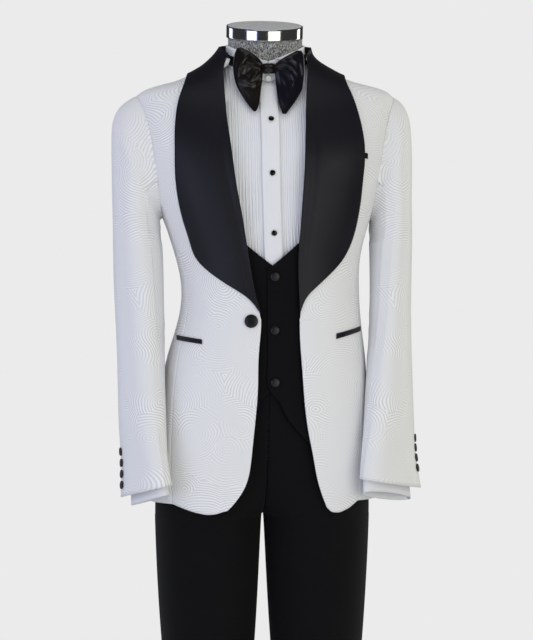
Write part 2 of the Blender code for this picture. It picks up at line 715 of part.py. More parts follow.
def make_collar():
    """The collar band, open at the front, its folded wings and its button."""
    angles = np.linspace(0.4, 359.6, 27)
    signed = (angles + 180) % 360 - 180
    low, high = round_neck(NECKLINE, signed) + SEAM_GAP, round_neck(COLLAR_HIGH, signed)
    places = np.stack([np.column_stack([angles, low + (high - low) * t]) for t in (0, 0.5, 1)])
    inner, outer = (seam_pull(FORM.lifted(places, lift)) for lift in COLLAR)
    wall("shirt_collar", outer, inner, "shirt_cloth")
    point, normal = on_skin(FORM, (0, 1512.5), COLLAR[1])
    seated(turned("shirt_collar_button", button_profile(11, 2.4), 10), "shirt_collar_button", "pearl",
           point, normal, 0.6)
    for name, side in (("right", -1), ("left", 1)):
        make_wing(name, side)


def make_wing(name, side):
    """A collar corner folded out and down from the top edge."""
    edge = np.array([(side * angle, float(round_neck(COLLAR_HIGH, angle))) for angle in (12, 25, 38, 52)])
    fold = FORM.lifted(edge, COLLAR[1] + 1.2)
    tip = np.array([2 + side * 54, -50, 1538])
    rows = [fold + (tip - fold) * t for t in (0, 0.32, 0.64, 0.94)]
    grid = np.stack(rows)
    normal = np.cross(grid[-1, 0] - grid[0, 0], grid[0, -1] - grid[0, 0]) * side
    normal /= np.linalg.norm(normal)
    if normal[1] > 0:
        normal = -normal
    wall(f"shirt_collar_wing_{name}", grid + normal * 1.2, grid, "shirt_cloth")


def make_shirt_sleeves():
    """A sleeve inside each jacket sleeve and the cuff that shows below it."""
    clock = np.linspace(0, 360, 13)[:-1]
    sleeves = (("right", -1, RIGHT_SLEEVE, RIGHT_CUFF_DROP), ("left", 1, LEFT_SLEEVE, LEFT_CUFF_DROP))
    for name, side, stations, (reach, slant) in sleeves:
        tube = Sleeve(FORM, SHIRT_ARMHOLE, side, stations, SHIRT[1] + SHIRT_ARMHOLE_CLEARANCE, under=1)
        at = np.array([0, 0.8, 2, 4, 6.5, 9, 11.0])[:, None]
        outer, inner = (tube.lifted(clock[None], at, lift) for lift in (0, -1.2))
        wall(f"shirt_sleeve_{name}", outer, inner, "shirt_cloth", wrap=True)
        at = np.array([11.006, 11.6, 12.0])[:, None]
        outer, inner = (tube.lifted(clock[None], at, lift) for lift in (0.6, -1.4))
        drop = reach * np.array([0, 0.5, 1])[:, None] * (1 - slant * np.cos(np.radians(clock)))
        for grid in (outer, inner):
            grid[..., 2] -= drop
        wall(f"shirt_cuff_{name}", outer, inner, "shirt_cloth", wrap=True)


# ---------------------------------------------------------------- waistcoat

VEE = (3, 1205)
VEE_EDGE = ((40, 1246), (78, 1290), (104, 1350), (112, 1430), (106, 1490))
VEST_HEM = ((0, 1015), (15, 990), (29, 962), (40, 948), (66, 923), (84, 924), (108, 937))
VEST_SIDE, VEST_BACK = 954, 960
VEST_BUTTONS = (1194, 1106, 1022)
BACK_EASE = 2.8


def vest_front_places(side, edge_x, rows):
    """Places of one waistcoat front, whose straight edge is at edge_x."""
    straight, vee, armhole = rows
    neck = (side * 90, FORM.ridge_height(100))
    end = (side * 90, FORM.ridge_height(146))
    vee_points = [(edge_x, VEE[1])] + [(VEE[0] + side * x, height) for x, height in VEE_EDGE]
    left = np.vstack([FORM.front_place(line((edge_x, VEST_HEM[0][1]), (edge_x, VEE[1]), straight)),
                      FORM.front_curve(vee_points, vee, [neck])[1:]])
    arm = FORM.armhole(WAISTCOAT_ARMHOLE, side, 180, 0, armhole)
    arm[-1] = end
    right = joined(line((side * 86, VEST_SIDE), tuple(arm[0]), straight + vee - armhole), arm)
    hem_points = [(edge_x, VEST_HEM[0][1])] + [(side * x, height) for x, height in VEST_HEM[1:]]
    hem = FORM.front_curve(hem_points, 9, right[:1])
    return patch(hem, FORM.curve((neck, end), 9), left, right)


def vest_ease(places):
    """Extra height of the waistcoat over the trousers' top, the placket and the shoulder points."""
    height = places[..., 1]
    shoulder = ease(height, 1415, 1450) * (1 - ease(height, 1484, 1506))
    return 4.0 * (1 - ease(height, 915, 1015)) + 1.4 * (1 - ease(height, 1300, 1420)) + 1.2 * shoulder


def make_waistcoat():
    """Two fronts, the wearer's left over the right, a back and three buttons."""
    for name, side, edge_x in (("right", -1, 13), ("left", 1, -3)):
        places = vest_front_places(side, edge_x, (5, 7, 4))
        over = WAISTCOAT_OVERLAP * (1 - ease(np.abs(places[..., 0]), 14, 34)) * (side > 0)
        panel(f"waistcoat_front_{name}", FORM, places, WAISTCOAT, "black_cloth", over + vest_ease(places))
    armhole_rows, neck, end = 7, FORM.ridge_height(100), FORM.ridge_height(146)
    sides = []
    for angle, side, over in ((86, 1, 90), (274, -1, 270)):
        arm = back_armhole(FORM, WAISTCOAT_ARMHOLE, side, armhole_rows)
        arm[-1] = (over, end)
        sides.append(joined(line((angle, VEST_SIDE), tuple(arm[0]), 7), arm))
    top = joined(FORM.curve(((90, end), (90, neck)), 2),
                 FORM.curve(((90, neck), (115, 1508), (180, 1508), (245, 1508), (270, neck)), 8),
                 FORM.curve(((270, neck), (270, end)), 2))
    stops = ((86, VEST_SIDE), (130, VEST_BACK), (180, VEST_BACK), (230, VEST_BACK), (274, VEST_SIDE))
    hem = FORM.curve(stops, 12)
    places = patch(hem, top, sides[0], sides[1])
    panel("waistcoat_back", FORM, places, WAISTCOAT, "satin", vest_ease(places) + BACK_EASE)
    button = turned("waistcoat_button", button_profile(14.5, 3.2), 12)
    for number, height in enumerate(VEST_BUTTONS, 1):
        place = FORM.front_place((8.5, height))
        over = WAISTCOAT_OVERLAP + vest_ease(place)
        point, normal = on_skin(FORM, place, WAISTCOAT[1] + over)
        seated(button, f"waistcoat_button_{number}", "black_button", point, normal, 0.6)


# ---------------------------------------------------------------- trousers

CREASE, CREASE_SHARE = 2.5, 4 / 9


def leg_points(side, face, share, height, lift):
    """Points of a leg: share runs from the outer seam (0) by the front or back to the inner seam (1)."""
    table = columns(LEG, LEG_SECTIONS)
    inner, outer, front, back = (smooth(table["height"], table[name], height) for name in LEG.split()[1:])
    crease = CREASE * (1 - ease(np.abs(share - CREASE_SHARE), 0, 0.1)) * (1 - ease(height, 780, 900))
    depth = (front if face == "front" else back) + crease + lift
    inner_reach = inner + lift
    # Above the crotch the ring is cut where it meets the centre plane.
    cut = np.clip((LEG_AXIS - SEAM_GAP / 2) / inner_reach, 0, 1)
    end = 90 + np.degrees(np.arcsin(cut))
    clock = np.radians(share * end)
    over = np.where(clock < math.pi / 2, (outer + lift) * np.cos(clock), inner_reach * np.cos(clock))
    ahead = depth * np.sin(clock)
    facing = -1 if face == "front" else 1
    leg = np.stack([LEG_SHIFT + side * (LEG_AXIS + over), facing * ahead, height], axis=-1)
    angle = side * 90 * (1 - share)
    if face == "back":
        angle = side * (90 + 90 * share)
    hip = FORM.lifted(np.stack([angle, height], axis=-1), TROUSERS_TOP[1] + lift)
    blend = ease(height, 835, 960)[..., None]
    points = (1 - blend) * leg + blend * hip
    centre = FORM.section(height)[4]
    points[..., 0] = centre + side * np.maximum(side * (points[..., 0] - centre), SEAM_GAP / 2)
    return points


def make_trousers():
    """A front and a back for each leg, and the waistband."""
    shares = np.linspace(0, 1, 10)
    heights = np.concatenate([np.linspace(35, 775, 6), [800, 812, 835, 868, 910, 960],
                              [WAIST_BAND[0] - SEAM_GAP]])
    share, height = np.meshgrid(shares, heights)
    for name, side in (("right", -1), ("left", 1)):
        for face in ("front", "back"):
            outer, inner = (seam_pull(leg_points(side, face, share, height, lift)) for lift in (0, -1.4))
            wall(f"trousers_{face}_{name}", outer, inner, "black_cloth")
    angles = np.linspace(-180, 180, 33)[:-1]
    places = np.stack(np.meshgrid(angles, np.array(WAIST_BAND, float)), axis=-1)
    inner, outer = (FORM.lifted(places, lift) for lift in (TROUSERS_TOP[0], TROUSERS_TOP[1]))
    wall("trousers_waistband", outer, inner, "black_cloth", wrap=True)


# ---------------------------------------------------------------- jacket

SIDE_SEAM_CLOCK, BACK_SEAM_CLOCK = 140, 215
SIDE_SEAM_HEM, BACK_SEAM_HEM = 61, 113
SHOULDER_NECK = 1556
JACKET_ROWS = (12, 6)


def make_jacket_body():
    """Two fronts, two side panels and two backs, cut to the hem, armholes and shoulder seams."""
    lower, upper = JACKET_ROWS
    fronts = (("right", -1, RIGHT_EDGE, RIGHT_ROLL, RIGHT_HEM), ("left", 1, LEFT_EDGE, LEFT_ROLL, LEFT_HEM))
    for name, side, edge, roll, hem in fronts:
        top = (side * 90, JACKET_ARMHOLE[0] + JACKET_ARMHOLE[1])
        neck = (side * 90, SHOULDER_NECK)
        rolled = BODY.front_curve(roll, 10, [neck])
        left = joined(BODY.front_curve(edge, lower + upper - 10), rolled)
        arm = BODY.armhole(JACKET_ARMHOLE, side, SIDE_SEAM_CLOCK, 0, upper)
        seam = BODY.curve(((side * SIDE_SEAM_HEM, hem[-1][1] + 4), arm[0]), lower)
        hem_places = BODY.front_curve(hem[:-1], 10, seam[:1])
        places = patch(hem_places, BODY.curve((neck, top), 10), left, joined(seam, arm))
        panel(f"jacket_front_{name}", BODY, places, JACKET, "jacket_cloth")

        foot = BODY.armhole(JACKET_ARMHOLE, side, SIDE_SEAM_CLOCK, BACK_SEAM_CLOCK, 4)
        back_seam = BODY.curve(((side * BACK_SEAM_HEM, 824), foot[-1]), lower)
        places = patch(BODY.curve((seam[0], back_seam[0]), 4), foot, seam, back_seam)
        panel(f"jacket_side_{name}", BODY, places, JACKET, "jacket_cloth")

        arm = BODY.armhole(JACKET_ARMHOLE, side, BACK_SEAM_CLOCK, 360, upper)
        centre = BODY.curve(((side * 180, 824), (side * 180, 1546)), lower + upper)
        top_edge = joined(BODY.curve(((side * 180, 1546), neck), 3), BODY.curve((neck, top), 5))
        hem_places = BODY.curve(((side * 180, 824), back_seam[0]), 8)
        places = patch(hem_places, top_edge, centre, joined(back_seam, arm))
        panel(f"jacket_back_{name}", BODY, places, JACKET, "jacket_cloth")


def make_jacket_sleeves():
    """Each sleeve in two panels, with four buttons at the hind seam above the cuff."""
    at = np.array([0, 0.5, 1.1, 2, 3, 4, 5, 6, 7, 8, 9, 10, 11, 12.0])
    button = turned("cuff_button", button_profile(13.7, 3.0), 10)
    sleeves = (("right", -1, RIGHT_SLEEVE, RIGHT_CUFF_BUTTONS), ("left", 1, LEFT_SLEEVE, LEFT_CUFF_BUTTONS))
    for name, side, stations, (clock_place, first, step, gap) in sleeves:
        tube = Sleeve(BODY, JACKET_ARMHOLE, side, stations, ARMHOLE_CLEARANCE)
        for part, start, end, count in (("top", -100, 115, 9), ("under", 115, 260, 6)):
            clock, station = np.meshgrid(np.linspace(start, end, count + 1), at)
            outer, inner = (seam_pull(tube.lifted(clock, station, lift)) for lift in (0, -2.0))
            wall(f"jacket_sleeve_{part}_{name}", outer, inner, "jacket_cloth")
        for number in range(4):
            station = first + number * step
            point = tube.points(clock_place, station)
            normal = tube.lifted(clock_place, station, 1) - point
            seated(button, f"cuff_button_{name}_{number + 1}", "black_button", point, normal, gap)


SHAWL_WELT_LIFT, WELT_HEIGHT = 2.0, 1391
# How far the collar stands off the jacket: angle round the neck, rise.
RIGHT_RISE = ((0, 0), (40, 0), (85, 2.8), (180, 2.8))
LEFT_RISE = ((0, 0), (40, 0), (80, 2.35), (105, 2.7), (160, 2.8), (180, 2.8))


def make_shawl():
    """The collar: from the break, over the shoulders, to the centre back."""
    sides = (("right", -1, RIGHT_ROLL, RIGHT_OUTER, RIGHT_RISE),
             ("left", 1, LEFT_ROLL, LEFT_OUTER, LEFT_RISE))
    for name, side, roll, outer, rise in sides:
        over = [(side * 75, 1562), (side * 100, 1568), (side * 140, 1574), (side * 180, 1576)]
        inner_edge = BODY.front_curve(roll, 23, over)
        under = [(side * 90, 1519), (side * 125, 1518), (side * 180, 1524)]
        outer_edge = BODY.front_curve(outer, 23, under)
        start = line(inner_edge[0], outer_edge[0], 5)
        end = line(inner_edge[-1], outer_edge[-1], 5)
        places = patch(start, end, inner_edge, outer_edge)
        lift = round_neck(rise, places[..., 0])
        if side > 0:
            near_welt = 1 - ease(np.abs(places[..., 1] - WELT_HEIGHT), 12, 40)
            lift = lift + SHAWL_WELT_LIFT * near_welt * ease(np.abs(places[..., 0]), 30, 45)
        panel(f"jacket_shawl_{name}", BODY, places, SHAWL, "satin", lift)


def strip(name, corners, across, down, finish):
    """A strip of trim on the jacket between four (x, height) corners: top left round to bottom left."""
    top_left, top_right, bottom_right, bottom_left = (np.array(corner, float) for corner in corners)
    top, bottom = line(top_left, top_right, across), line(bottom_left, bottom_right, across)
    flat = patch(bottom, top, line(bottom_left, top_left, down), line(bottom_right, top_right, down))
    panel(name, BODY, BODY.front_place(flat), TRIM, finish)


def make_jacket_trim():
    """Pocket jets, breast welt and the front button."""
    strip("jacket_pocket_right", ((-145, 1096), (-107, 1091), (-107, 1083), (-145, 1088)), 6, 1, "satin")
    strip("jacket_pocket_left", ((109, 1100), (154, 1110), (154, 1102), (109, 1091)), 5, 1, "satin")
    strip("jacket_breast_welt", ((100, 1399), (160, 1391), (160, 1382), (100, 1390)), 5, 1, "satin")
    button = turned("jacket_button", button_profile(21.7, 3.6), 16)
    point, normal = on_skin(BODY, BODY.front_place((-30, 1121)), 0)
    seated(button, "jacket_button", "black_button", point, normal)


# ---------------------------------------------------------------- bow tie


STRAP_MIDDLE = ((0, 1528), (60, 1540), (90, 1551), (180, 1557))


def make_bow():
    """Two pillowed halves, the knot between them and the strap round the neck."""
    centre_x, centre_y, centre_z = BOW_CENTRE
    clock = np.radians(np.linspace(0, 360, 13)[:-1])
    for name, side, rows in (("right", -1, RIGHT_BOW), ("left", 1, LEFT_BOW)):
        table = columns(BOW, rows)
        rings = []
        for height, far, near, bulge, depth in zip(*(table[column] for column in BOW.split())):
            middle, half = (far + near) / 2, (far - near) / 2
            out = middle + half * np.cos(clock)
            back = 0.003 * np.maximum(out - 10, 0) ** 2
            rings.append(np.column_stack([centre_x + side * out, back - depth - bulge * np.sin(clock),
                                          np.full(len(clock), height)]))
        stacked(f"bow_{name}", rings, "satin")
    knot = [np.column_stack([centre_x + width * np.cos(clock), centre_y + 1 - depth * np.sin(clock),
                             np.full(len(clock), centre_z + rise)])
            for rise, width, depth in BOW_KNOT]
    stacked("bow_knot", knot, "satin")
    angles = np.linspace(26, 334, 25)
    middle = round_neck(STRAP_MIDDLE, (angles + 180) % 360 - 180)
    places = np.stack([np.column_stack([angles, middle + rise]) for rise in (-8, 8)])
    inner, outer = (FORM.lifted(places, lift) for lift in (COLLAR[1] + 1.3, COLLAR[1] + 2.5))
    wall("bow_strap", outer, inner, "satin")


# ---------------------------------------------------------------- the whole


def clear_scene():
    """Removes whatever the scene holds."""
    for thing in list(bpy.data.objects):
        bpy.data.objects.remove(thing)


def main():
    """Builds the form and then the clothes, from the skin outwards."""
    clear_scene()
    make_form()
    make_stand()
    make_shirt()
    make_waistcoat()
    make_trousers()
    make_jacket_body()
    make_jacket_sleeves()
    make_shawl()
    make_jacket_trim()
    make_bow()


if __name__ == "__main__":
    main()
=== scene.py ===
"""The looks of a dinner suit on a dress form: cloth, buttons and stitching, the camera and the light."""

import logging
import math
from dataclasses import dataclass
from enum import Enum
from typing import Any, Sequence

import bmesh
import bpy
import numpy as np
from mathutils import Matrix, Vector, noise
from mathutils.bvhtree import BVHTree


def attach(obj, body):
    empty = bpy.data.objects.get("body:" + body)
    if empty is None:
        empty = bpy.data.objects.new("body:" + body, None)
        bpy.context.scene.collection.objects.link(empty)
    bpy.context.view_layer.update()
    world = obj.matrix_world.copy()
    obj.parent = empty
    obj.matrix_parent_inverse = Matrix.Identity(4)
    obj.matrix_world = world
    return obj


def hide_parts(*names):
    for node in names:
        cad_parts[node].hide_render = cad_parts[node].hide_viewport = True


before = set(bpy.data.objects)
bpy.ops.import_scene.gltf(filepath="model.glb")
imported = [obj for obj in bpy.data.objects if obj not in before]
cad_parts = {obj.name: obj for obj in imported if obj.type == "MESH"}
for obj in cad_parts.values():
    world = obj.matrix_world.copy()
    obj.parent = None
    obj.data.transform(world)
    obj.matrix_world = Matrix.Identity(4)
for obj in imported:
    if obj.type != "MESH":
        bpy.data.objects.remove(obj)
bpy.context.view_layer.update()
LOG = logging.getLogger("dinner_suit")

MM = 0.001
BODY = "root"
SIDES = ("right", "left")
# The middle of the body stands this far behind the frame's origin, and points closer than WELD are one.
BODY_MIDDLE_Y = 15 * MM
WELD = 0.01 * MM

# What the patterns read: each piece's flat coordinates in metres and, on the shirt's fronts, the distance
# from the middle of the placket in millimetres.
UV_NAME = "cut"
AWAY_NAME = "away_from_placket"


# ---------------------------------------------------------------- finishes


Source = bpy.types.NodeSocket | bpy.types.Node


def linear_colour(code: str) -> tuple[float, float, float, float]:
    """Turns an sRGB hex colour to linear light.

    Args:
        code: the colour, such as "#1A2B3C".

    Returns:
        Linear red, green, blue and an alpha of 1.
    """
    channels = [int(code[at:at + 2], 16) / 255 for at in (1, 3, 5)]
    light = [c / 12.92 if c <= 0.04045 else ((c + 0.055) / 1.055) ** 2.4 for c in channels]
    return (light[0], light[1], light[2], 1.0)


def feed(node: bpy.types.Node, links: dict[str | int, Source]) -> None:
    """Links inputs of a node.

    Args:
        node: the node.
        links: what feeds each input, by its name or number. A node stands for its first output.
    """
    for name, source in links.items():
        socket = source.outputs[0] if isinstance(source, bpy.types.Node) else source
        node.id_data.links.new(socket, node.inputs[name])


def add_node(tree: bpy.types.NodeTree, kind: str, settings: dict[str | int, Any] | None = None,
             links: dict[str | int, Source] | None = None) -> bpy.types.Node:
    """Adds a node with its settings and links.

    Args:
        tree: the node tree that gets the node.
        kind: the shader node's type, such as "Bump".
        settings: values by the name or number of an input, or by the name of a property.
        links: what feeds its inputs, as for feed.

    Returns:
        The new node.
    """
    node = tree.nodes.new("ShaderNode" + kind)
    for name, value in (settings or {}).items():
        if isinstance(name, int) or name in node.inputs:
            node.inputs[name].default_value = value
        else:
            setattr(node, name, value)
    feed(node, links or {})
    return node


@dataclass(frozen=True)
class Finish:
    """A surface finish: its name, its colour and how it takes the light."""

    name: str
    colour: str
    roughness: float
    specular: float = 0.5
    metallic: float = 0.0
    sheen: float = 0.0
    sheen_roughness: float = 0.5

    def material(self) -> bpy.types.Material:
        """Makes the finish's material, or finds it where it was made before.

        Returns:
            The material.
        """
        found = bpy.data.materials.get(self.name)
        if found:
            return found
        made = bpy.data.materials.new(self.name)
        made.use_nodes = True
        shader = made.node_tree.nodes["Principled BSDF"]
        settings = {"Base Color": linear_colour(self.colour), "Roughness": self.roughness,
                    "Metallic": self.metallic, "Sheen Weight": self.sheen,
                    "Sheen Roughness": self.sheen_roughness}
        if self.metallic < 1:
            settings["Specular IOR Level"] = self.specular
        for name, value in settings.items():
            shader.inputs[name].default_value = value
        self.pattern(made.node_tree, shader)
        return made

    def pattern(self, tree: bpy.types.NodeTree, shader: bpy.types.Node) -> None:
        """Adds the finish's pattern to its shader; a plain finish has fine mottling alone.

        Args:
            tree: the material's node tree.
            shader: its Principled shader.
        """
        place = add_node(tree, "TexCoord")
        mottle = add_node(tree, "TexNoise", {"Scale": 350.0, "Detail": 2.0},
                          {"Vector": place.outputs["Object"]})
        bump = add_node(tree, "Bump", {"Strength": 0.08, "Distance": 0.2 * MM}, {"Height": mottle})
        feed(shader, {"Normal": bump})


@dataclass(frozen=True)
class FiguredCloth(Finish):
    """White jacquard: rings float over a matt ground, so they show by their gloss more than their colour.

    Attributes:
        ring_colour: colour of the rings.
        cell: distance between two patches of rings, in metres.
        ring: distance from one ring to the next, in metres.
        wander: how far a ring strays from true, in metres.
        wander_scale: how many times it strays in a metre.
        patch_scale: how many times the figure grows faint in a metre.
        faint: strength of the figure where it is faintest.
        gloss: how much smoother a ring is than the ground.
        relief: height of a ring, in metres.
        thread: size of an uneven spot of the ground, in metres, drawn coarse enough to show.
    """

    ring_colour: str = "#D6D6D8"
    cell: float = 62 * MM
    ring: float = 4.0 * MM
    wander: float = 14 * MM
    wander_scale: float = 22.0
    patch_scale: float = 16.0
    faint: float = 0.06
    gloss: float = 0.2
    relief: float = 0.38 * MM
    thread: float = 0.9 * MM

    def pattern(self, tree: bpy.types.NodeTree, shader: bpy.types.Node) -> None:
        """Adds fans of rings, whose centres often lie outside their own patch, and a fine ground weave.

        Args:
            tree: the material's node tree.
            shader: its Principled shader.
        """
        middle_grey = (0.5, 0.5, 0.5)
        cut = add_node(tree, "UVMap", {"uv_map": UV_NAME})
        drift = add_node(tree, "TexNoise", {"Scale": self.wander_scale, "Detail": 1.0}, {"Vector": cut})
        centred = add_node(tree, "VectorMath", {"operation": "SUBTRACT", 1: middle_grey},
                           {0: drift.outputs["Color"]})
        wavy = add_node(tree, "VectorMath",
                        {"operation": "MULTIPLY_ADD", 1: (self.wander, self.wander, 0.0)},
                        {0: centred, 2: cut})
        cells = add_node(tree, "TexVoronoi",
                         {"voronoi_dimensions": "2D", "Scale": 1 / self.cell, "Randomness": 0.95},
                         {"Vector": wavy})
        thrown = add_node(tree, "VectorMath", {"operation": "SUBTRACT", 1: middle_grey},
                          {0: cells.outputs["Color"]})
        centre = add_node(tree, "VectorMath", {"operation": "MULTIPLY_ADD", 1: (self.cell, self.cell, 0.0)},
                          {0: thrown, 2: cells.outputs["Position"]})
        away = add_node(tree, "VectorMath", {"operation": "DISTANCE"}, {0: wavy, 1: centre})
        phase = add_node(tree, "Math", {"operation": "MULTIPLY", 1: math.tau / self.ring},
                         {0: away.outputs["Value"]})
        wave = add_node(tree, "Math", {"operation": "SINE"}, {0: phase})
        ridge = add_node(tree, "MapRange",
                         {"From Min": -0.5, "From Max": 0.9, "interpolation_type": "SMOOTHSTEP"},
                         {"Value": wave})
        patchy = add_node(tree, "TexNoise", {"Scale": self.patch_scale, "Detail": 1.0}, {"Vector": cut})
        strength = add_node(tree, "MapRange", {"From Min": 0.4, "From Max": 0.64, "To Min": self.faint},
                            {"Value": patchy})
        swing = add_node(tree, "Math", {"operation": "SUBTRACT", 1: 0.5}, {0: ridge})
        figure = add_node(tree, "Math", {"operation": "MULTIPLY_ADD", 2: 0.5}, {0: swing, 1: strength})
        ground, rings = linear_colour(self.colour), linear_colour(self.ring_colour)
        colour = add_node(tree, "Mix", {"data_type": "RGBA", 6: ground, 7: rings}, {0: figure})
        gloss = add_node(tree, "MapRange",
                         {"To Min": self.roughness, "To Max": self.roughness - self.gloss},
                         {"Value": figure})
        threads = add_node(tree, "TexNoise", {"Scale": 1 / self.thread, "Detail": 1.0}, {"Vector": cut})
        height = add_node(tree, "Math", {"operation": "MULTIPLY_ADD", 1: 0.25}, {0: threads, 2: figure})
        bump = add_node(tree, "Bump", {"Strength": 0.6, "Distance": self.relief}, {"Height": height})
        feed(shader, {"Base Color": colour.outputs[2], "Roughness": gloss, "Normal": bump})


@dataclass(frozen=True)
class WovenCloth(Finish):
    """Plain or twilled cloth: fine ribs in one direction, crossed by uneven threads.

    Attributes:
        light_colour: colour of the raised threads.
        rib: distance from one rib to the next, in metres, drawn coarse enough to show.
        slant: the way the ribs run, in radians.
        relief: height of a rib, in metres.
        patch: size of the broad uneven patches, in metres.
    """

    light_colour: str = "#FFFFFF"
    rib: float = 1.2 * MM
    slant: float = math.radians(63)
    relief: float = 0.12 * MM
    patch: float = 60 * MM

    def pattern(self, tree: bpy.types.NodeTree, shader: bpy.types.Node) -> None:
        """Adds slanting ribs, broken by thread noise, and a broad unevenness of colour.

        Args:
            tree: the material's node tree.
            shader: its Principled shader.
        """
        cut = add_node(tree, "UVMap", {"uv_map": UV_NAME})
        turned = add_node(tree, "Mapping", {"Rotation": (0.0, 0.0, self.slant)}, {"Vector": cut})
        ribs = add_node(tree, "TexWave",
                        {"Scale": math.pi / 10 / self.rib, "Distortion": 1.5, "Detail": 1.0,
                         "Detail Scale": 2.0}, {"Vector": turned})
        threads = add_node(tree, "TexNoise", {"Scale": 0.6 / self.rib, "Detail": 2.0}, {"Vector": cut})
        height = add_node(tree, "Math", {"operation": "MULTIPLY"}, {0: ribs.outputs["Fac"], 1: threads})
        broad = add_node(tree, "TexNoise", {"Scale": 1 / self.patch, "Detail": 2.0}, {"Vector": cut})
        blend = add_node(tree, "Math", {"operation": "MULTIPLY"}, {0: broad, 1: height})
        ground, raised = linear_colour(self.colour), linear_colour(self.light_colour)
        colour = add_node(tree, "Mix", {"data_type": "RGBA", 6: ground, 7: raised}, {0: blend})
        bump = add_node(tree, "Bump", {"Strength": 0.4, "Distance": self.relief}, {"Height": height})
        feed(shader, {"Base Color": colour.outputs[2], "Normal": bump})


@dataclass(frozen=True)
class PinTucks:
    """Narrow tucks pressed away from the placket, in place of the solid's wider ones. All in millimetres.

    Attributes:
        first: where the tucks begin, off the placket's middle.
        last: where they end.
        pitch: distance from one tuck to the next.
        depth: how far the edge of a tuck stands out.
        drop: share of the pitch that the cloth takes to fall back behind the edge.
        solid_pitch: the pitch of the solid's tucks.
        solid_depth: their depth.
        solid_step: the width of their drop.
    """

    first: float = 16.0
    last: float = 66.0
    pitch: float = 3.3
    depth: float = 0.2
    drop: float = 0.3
    solid_pitch: float = 5.0
    solid_depth: float = 1.0
    solid_step: float = 0.6

    def saw(self, away: np.ndarray, pitch: float, depth: float, step: float) -> np.ndarray:
        """Tells how far a row of tucks stands out.

        Args:
            away: distances from the placket's middle.
            pitch: distance from one tuck to the next.
            depth: how far the edge of a tuck stands out.
            step: width of the drop behind the edge.

        Returns:
            The height at each distance.
        """
        along = np.mod(away - self.first, pitch)
        rise = depth * np.minimum(along / (pitch - step), (pitch - along) / step)
        return np.where((away > self.first) & (away < self.last), rise, 0.0)

    def change(self, away: np.ndarray) -> np.ndarray:
        """Returns how far the cloth moves out from the solid at each distance."""
        return (self.saw(away, self.pitch, self.depth, self.pitch * self.drop)
                - self.saw(away, self.solid_pitch, self.solid_depth, self.solid_step))


@dataclass(frozen=True)
class TuckedCloth(WovenCloth):
    """Cloth with pin tucks, each with a thin shadow behind its edge; an attribute tells a point's place.

    Attributes:
        tucks: the tucks.
        shadow: colour of the shadow.
        shade: how strong the shadow is.
        edge: height of a tuck's edge, in metres.
    """

    tucks: PinTucks = PinTucks()
    shadow: str = "#A9AEBC"
    shade: float = 0.42
    edge: float = 0.3 * MM

    def pattern(self, tree: bpy.types.NodeTree, shader: bpy.types.Node) -> None:
        """Adds the shadow and the step behind the edge of each tuck to the weave.

        Args:
            tree: the material's node tree.
            shader: its Principled shader.
        """
        super().pattern(tree, shader)
        weave, normal = (shader.inputs[name].links[0].from_socket for name in ("Base Color", "Normal"))
        first, pitch = self.tucks.first, self.tucks.pitch
        away = add_node(tree, "Attribute", {"attribute_name": AWAY_NAME}).outputs["Fac"]
        count = add_node(tree, "MapRange",
                         {"clamp": False, "From Min": first, "From Max": first + pitch}, {"Value": away})
        along = add_node(tree, "Math", {"operation": "FRACT"}, {0: count})
        begun = add_node(tree, "Math", {"operation": "GREATER_THAN", 1: first}, {0: away})
        unended = add_node(tree, "Math", {"operation": "LESS_THAN", 1: self.tucks.last}, {0: away})
        tucked = add_node(tree, "Math", {"operation": "MULTIPLY"}, {0: begun, 1: unended})
        height = add_node(tree, "Math", {"operation": "MULTIPLY"}, {0: along, 1: tucked})
        line = add_node(tree, "MapRange",
                        {"From Min": 0.6, "From Max": 0.95, "To Max": self.shade,
                         "interpolation_type": "SMOOTHSTEP"}, {"Value": height})
        colour = add_node(tree, "Mix", {"data_type": "RGBA", 7: linear_colour(self.shadow)},
                          {0: line, 6: weave})
        bump = add_node(tree, "Bump", {"Strength": 0.5, "Distance": self.edge},
                        {"Height": height, "Normal": normal})
        feed(shader, {"Base Color": colour.outputs[2], "Normal": bump})


@dataclass(frozen=True)
class MelangeJersey(Finish):
    """Grey melange knit: pale and dark fibres spun together, so it looks like salt and pepper.

    Attributes:
        light_colour: colour of the pale fibres.
        fleck: size of a fleck, in metres.
    """

    light_colour: str = "#C4C4C2"
    fleck: float = 0.95 * MM

    def pattern(self, tree: bpy.types.NodeTree, shader: bpy.types.Node) -> None:
        """Adds flecks of dark and pale fibre and the bump of the loops.

        Args:
            tree: the material's node tree.
            shader: its Principled shader.
        """
        place = add_node(tree, "TexCoord")
        squeezed = add_node(tree, "Mapping", {"Scale": (1.0, 1.0, 0.6)},
                            {"Vector": place.outputs["Object"]})
        fibres = add_node(tree, "TexNoise",
                          {"Scale": 0.5 / self.fleck, "Detail": 3.0, "Roughness": 0.7},
                          {"Vector": squeezed})
        share = add_node(tree, "MapRange", {"From Min": 0.4, "From Max": 0.6}, {"Value": fibres})
        dark, pale = linear_colour(self.colour), linear_colour(self.light_colour)
        colour = add_node(tree, "Mix", {"data_type": "RGBA", 6: dark, 7: pale}, {0: share})
        bump = add_node(tree, "Bump", {"Strength": 0.5, "Distance": 0.3 * MM}, {"Height": fibres})
        feed(shader, {"Base Color": colour.outputs[2], "Normal": bump})


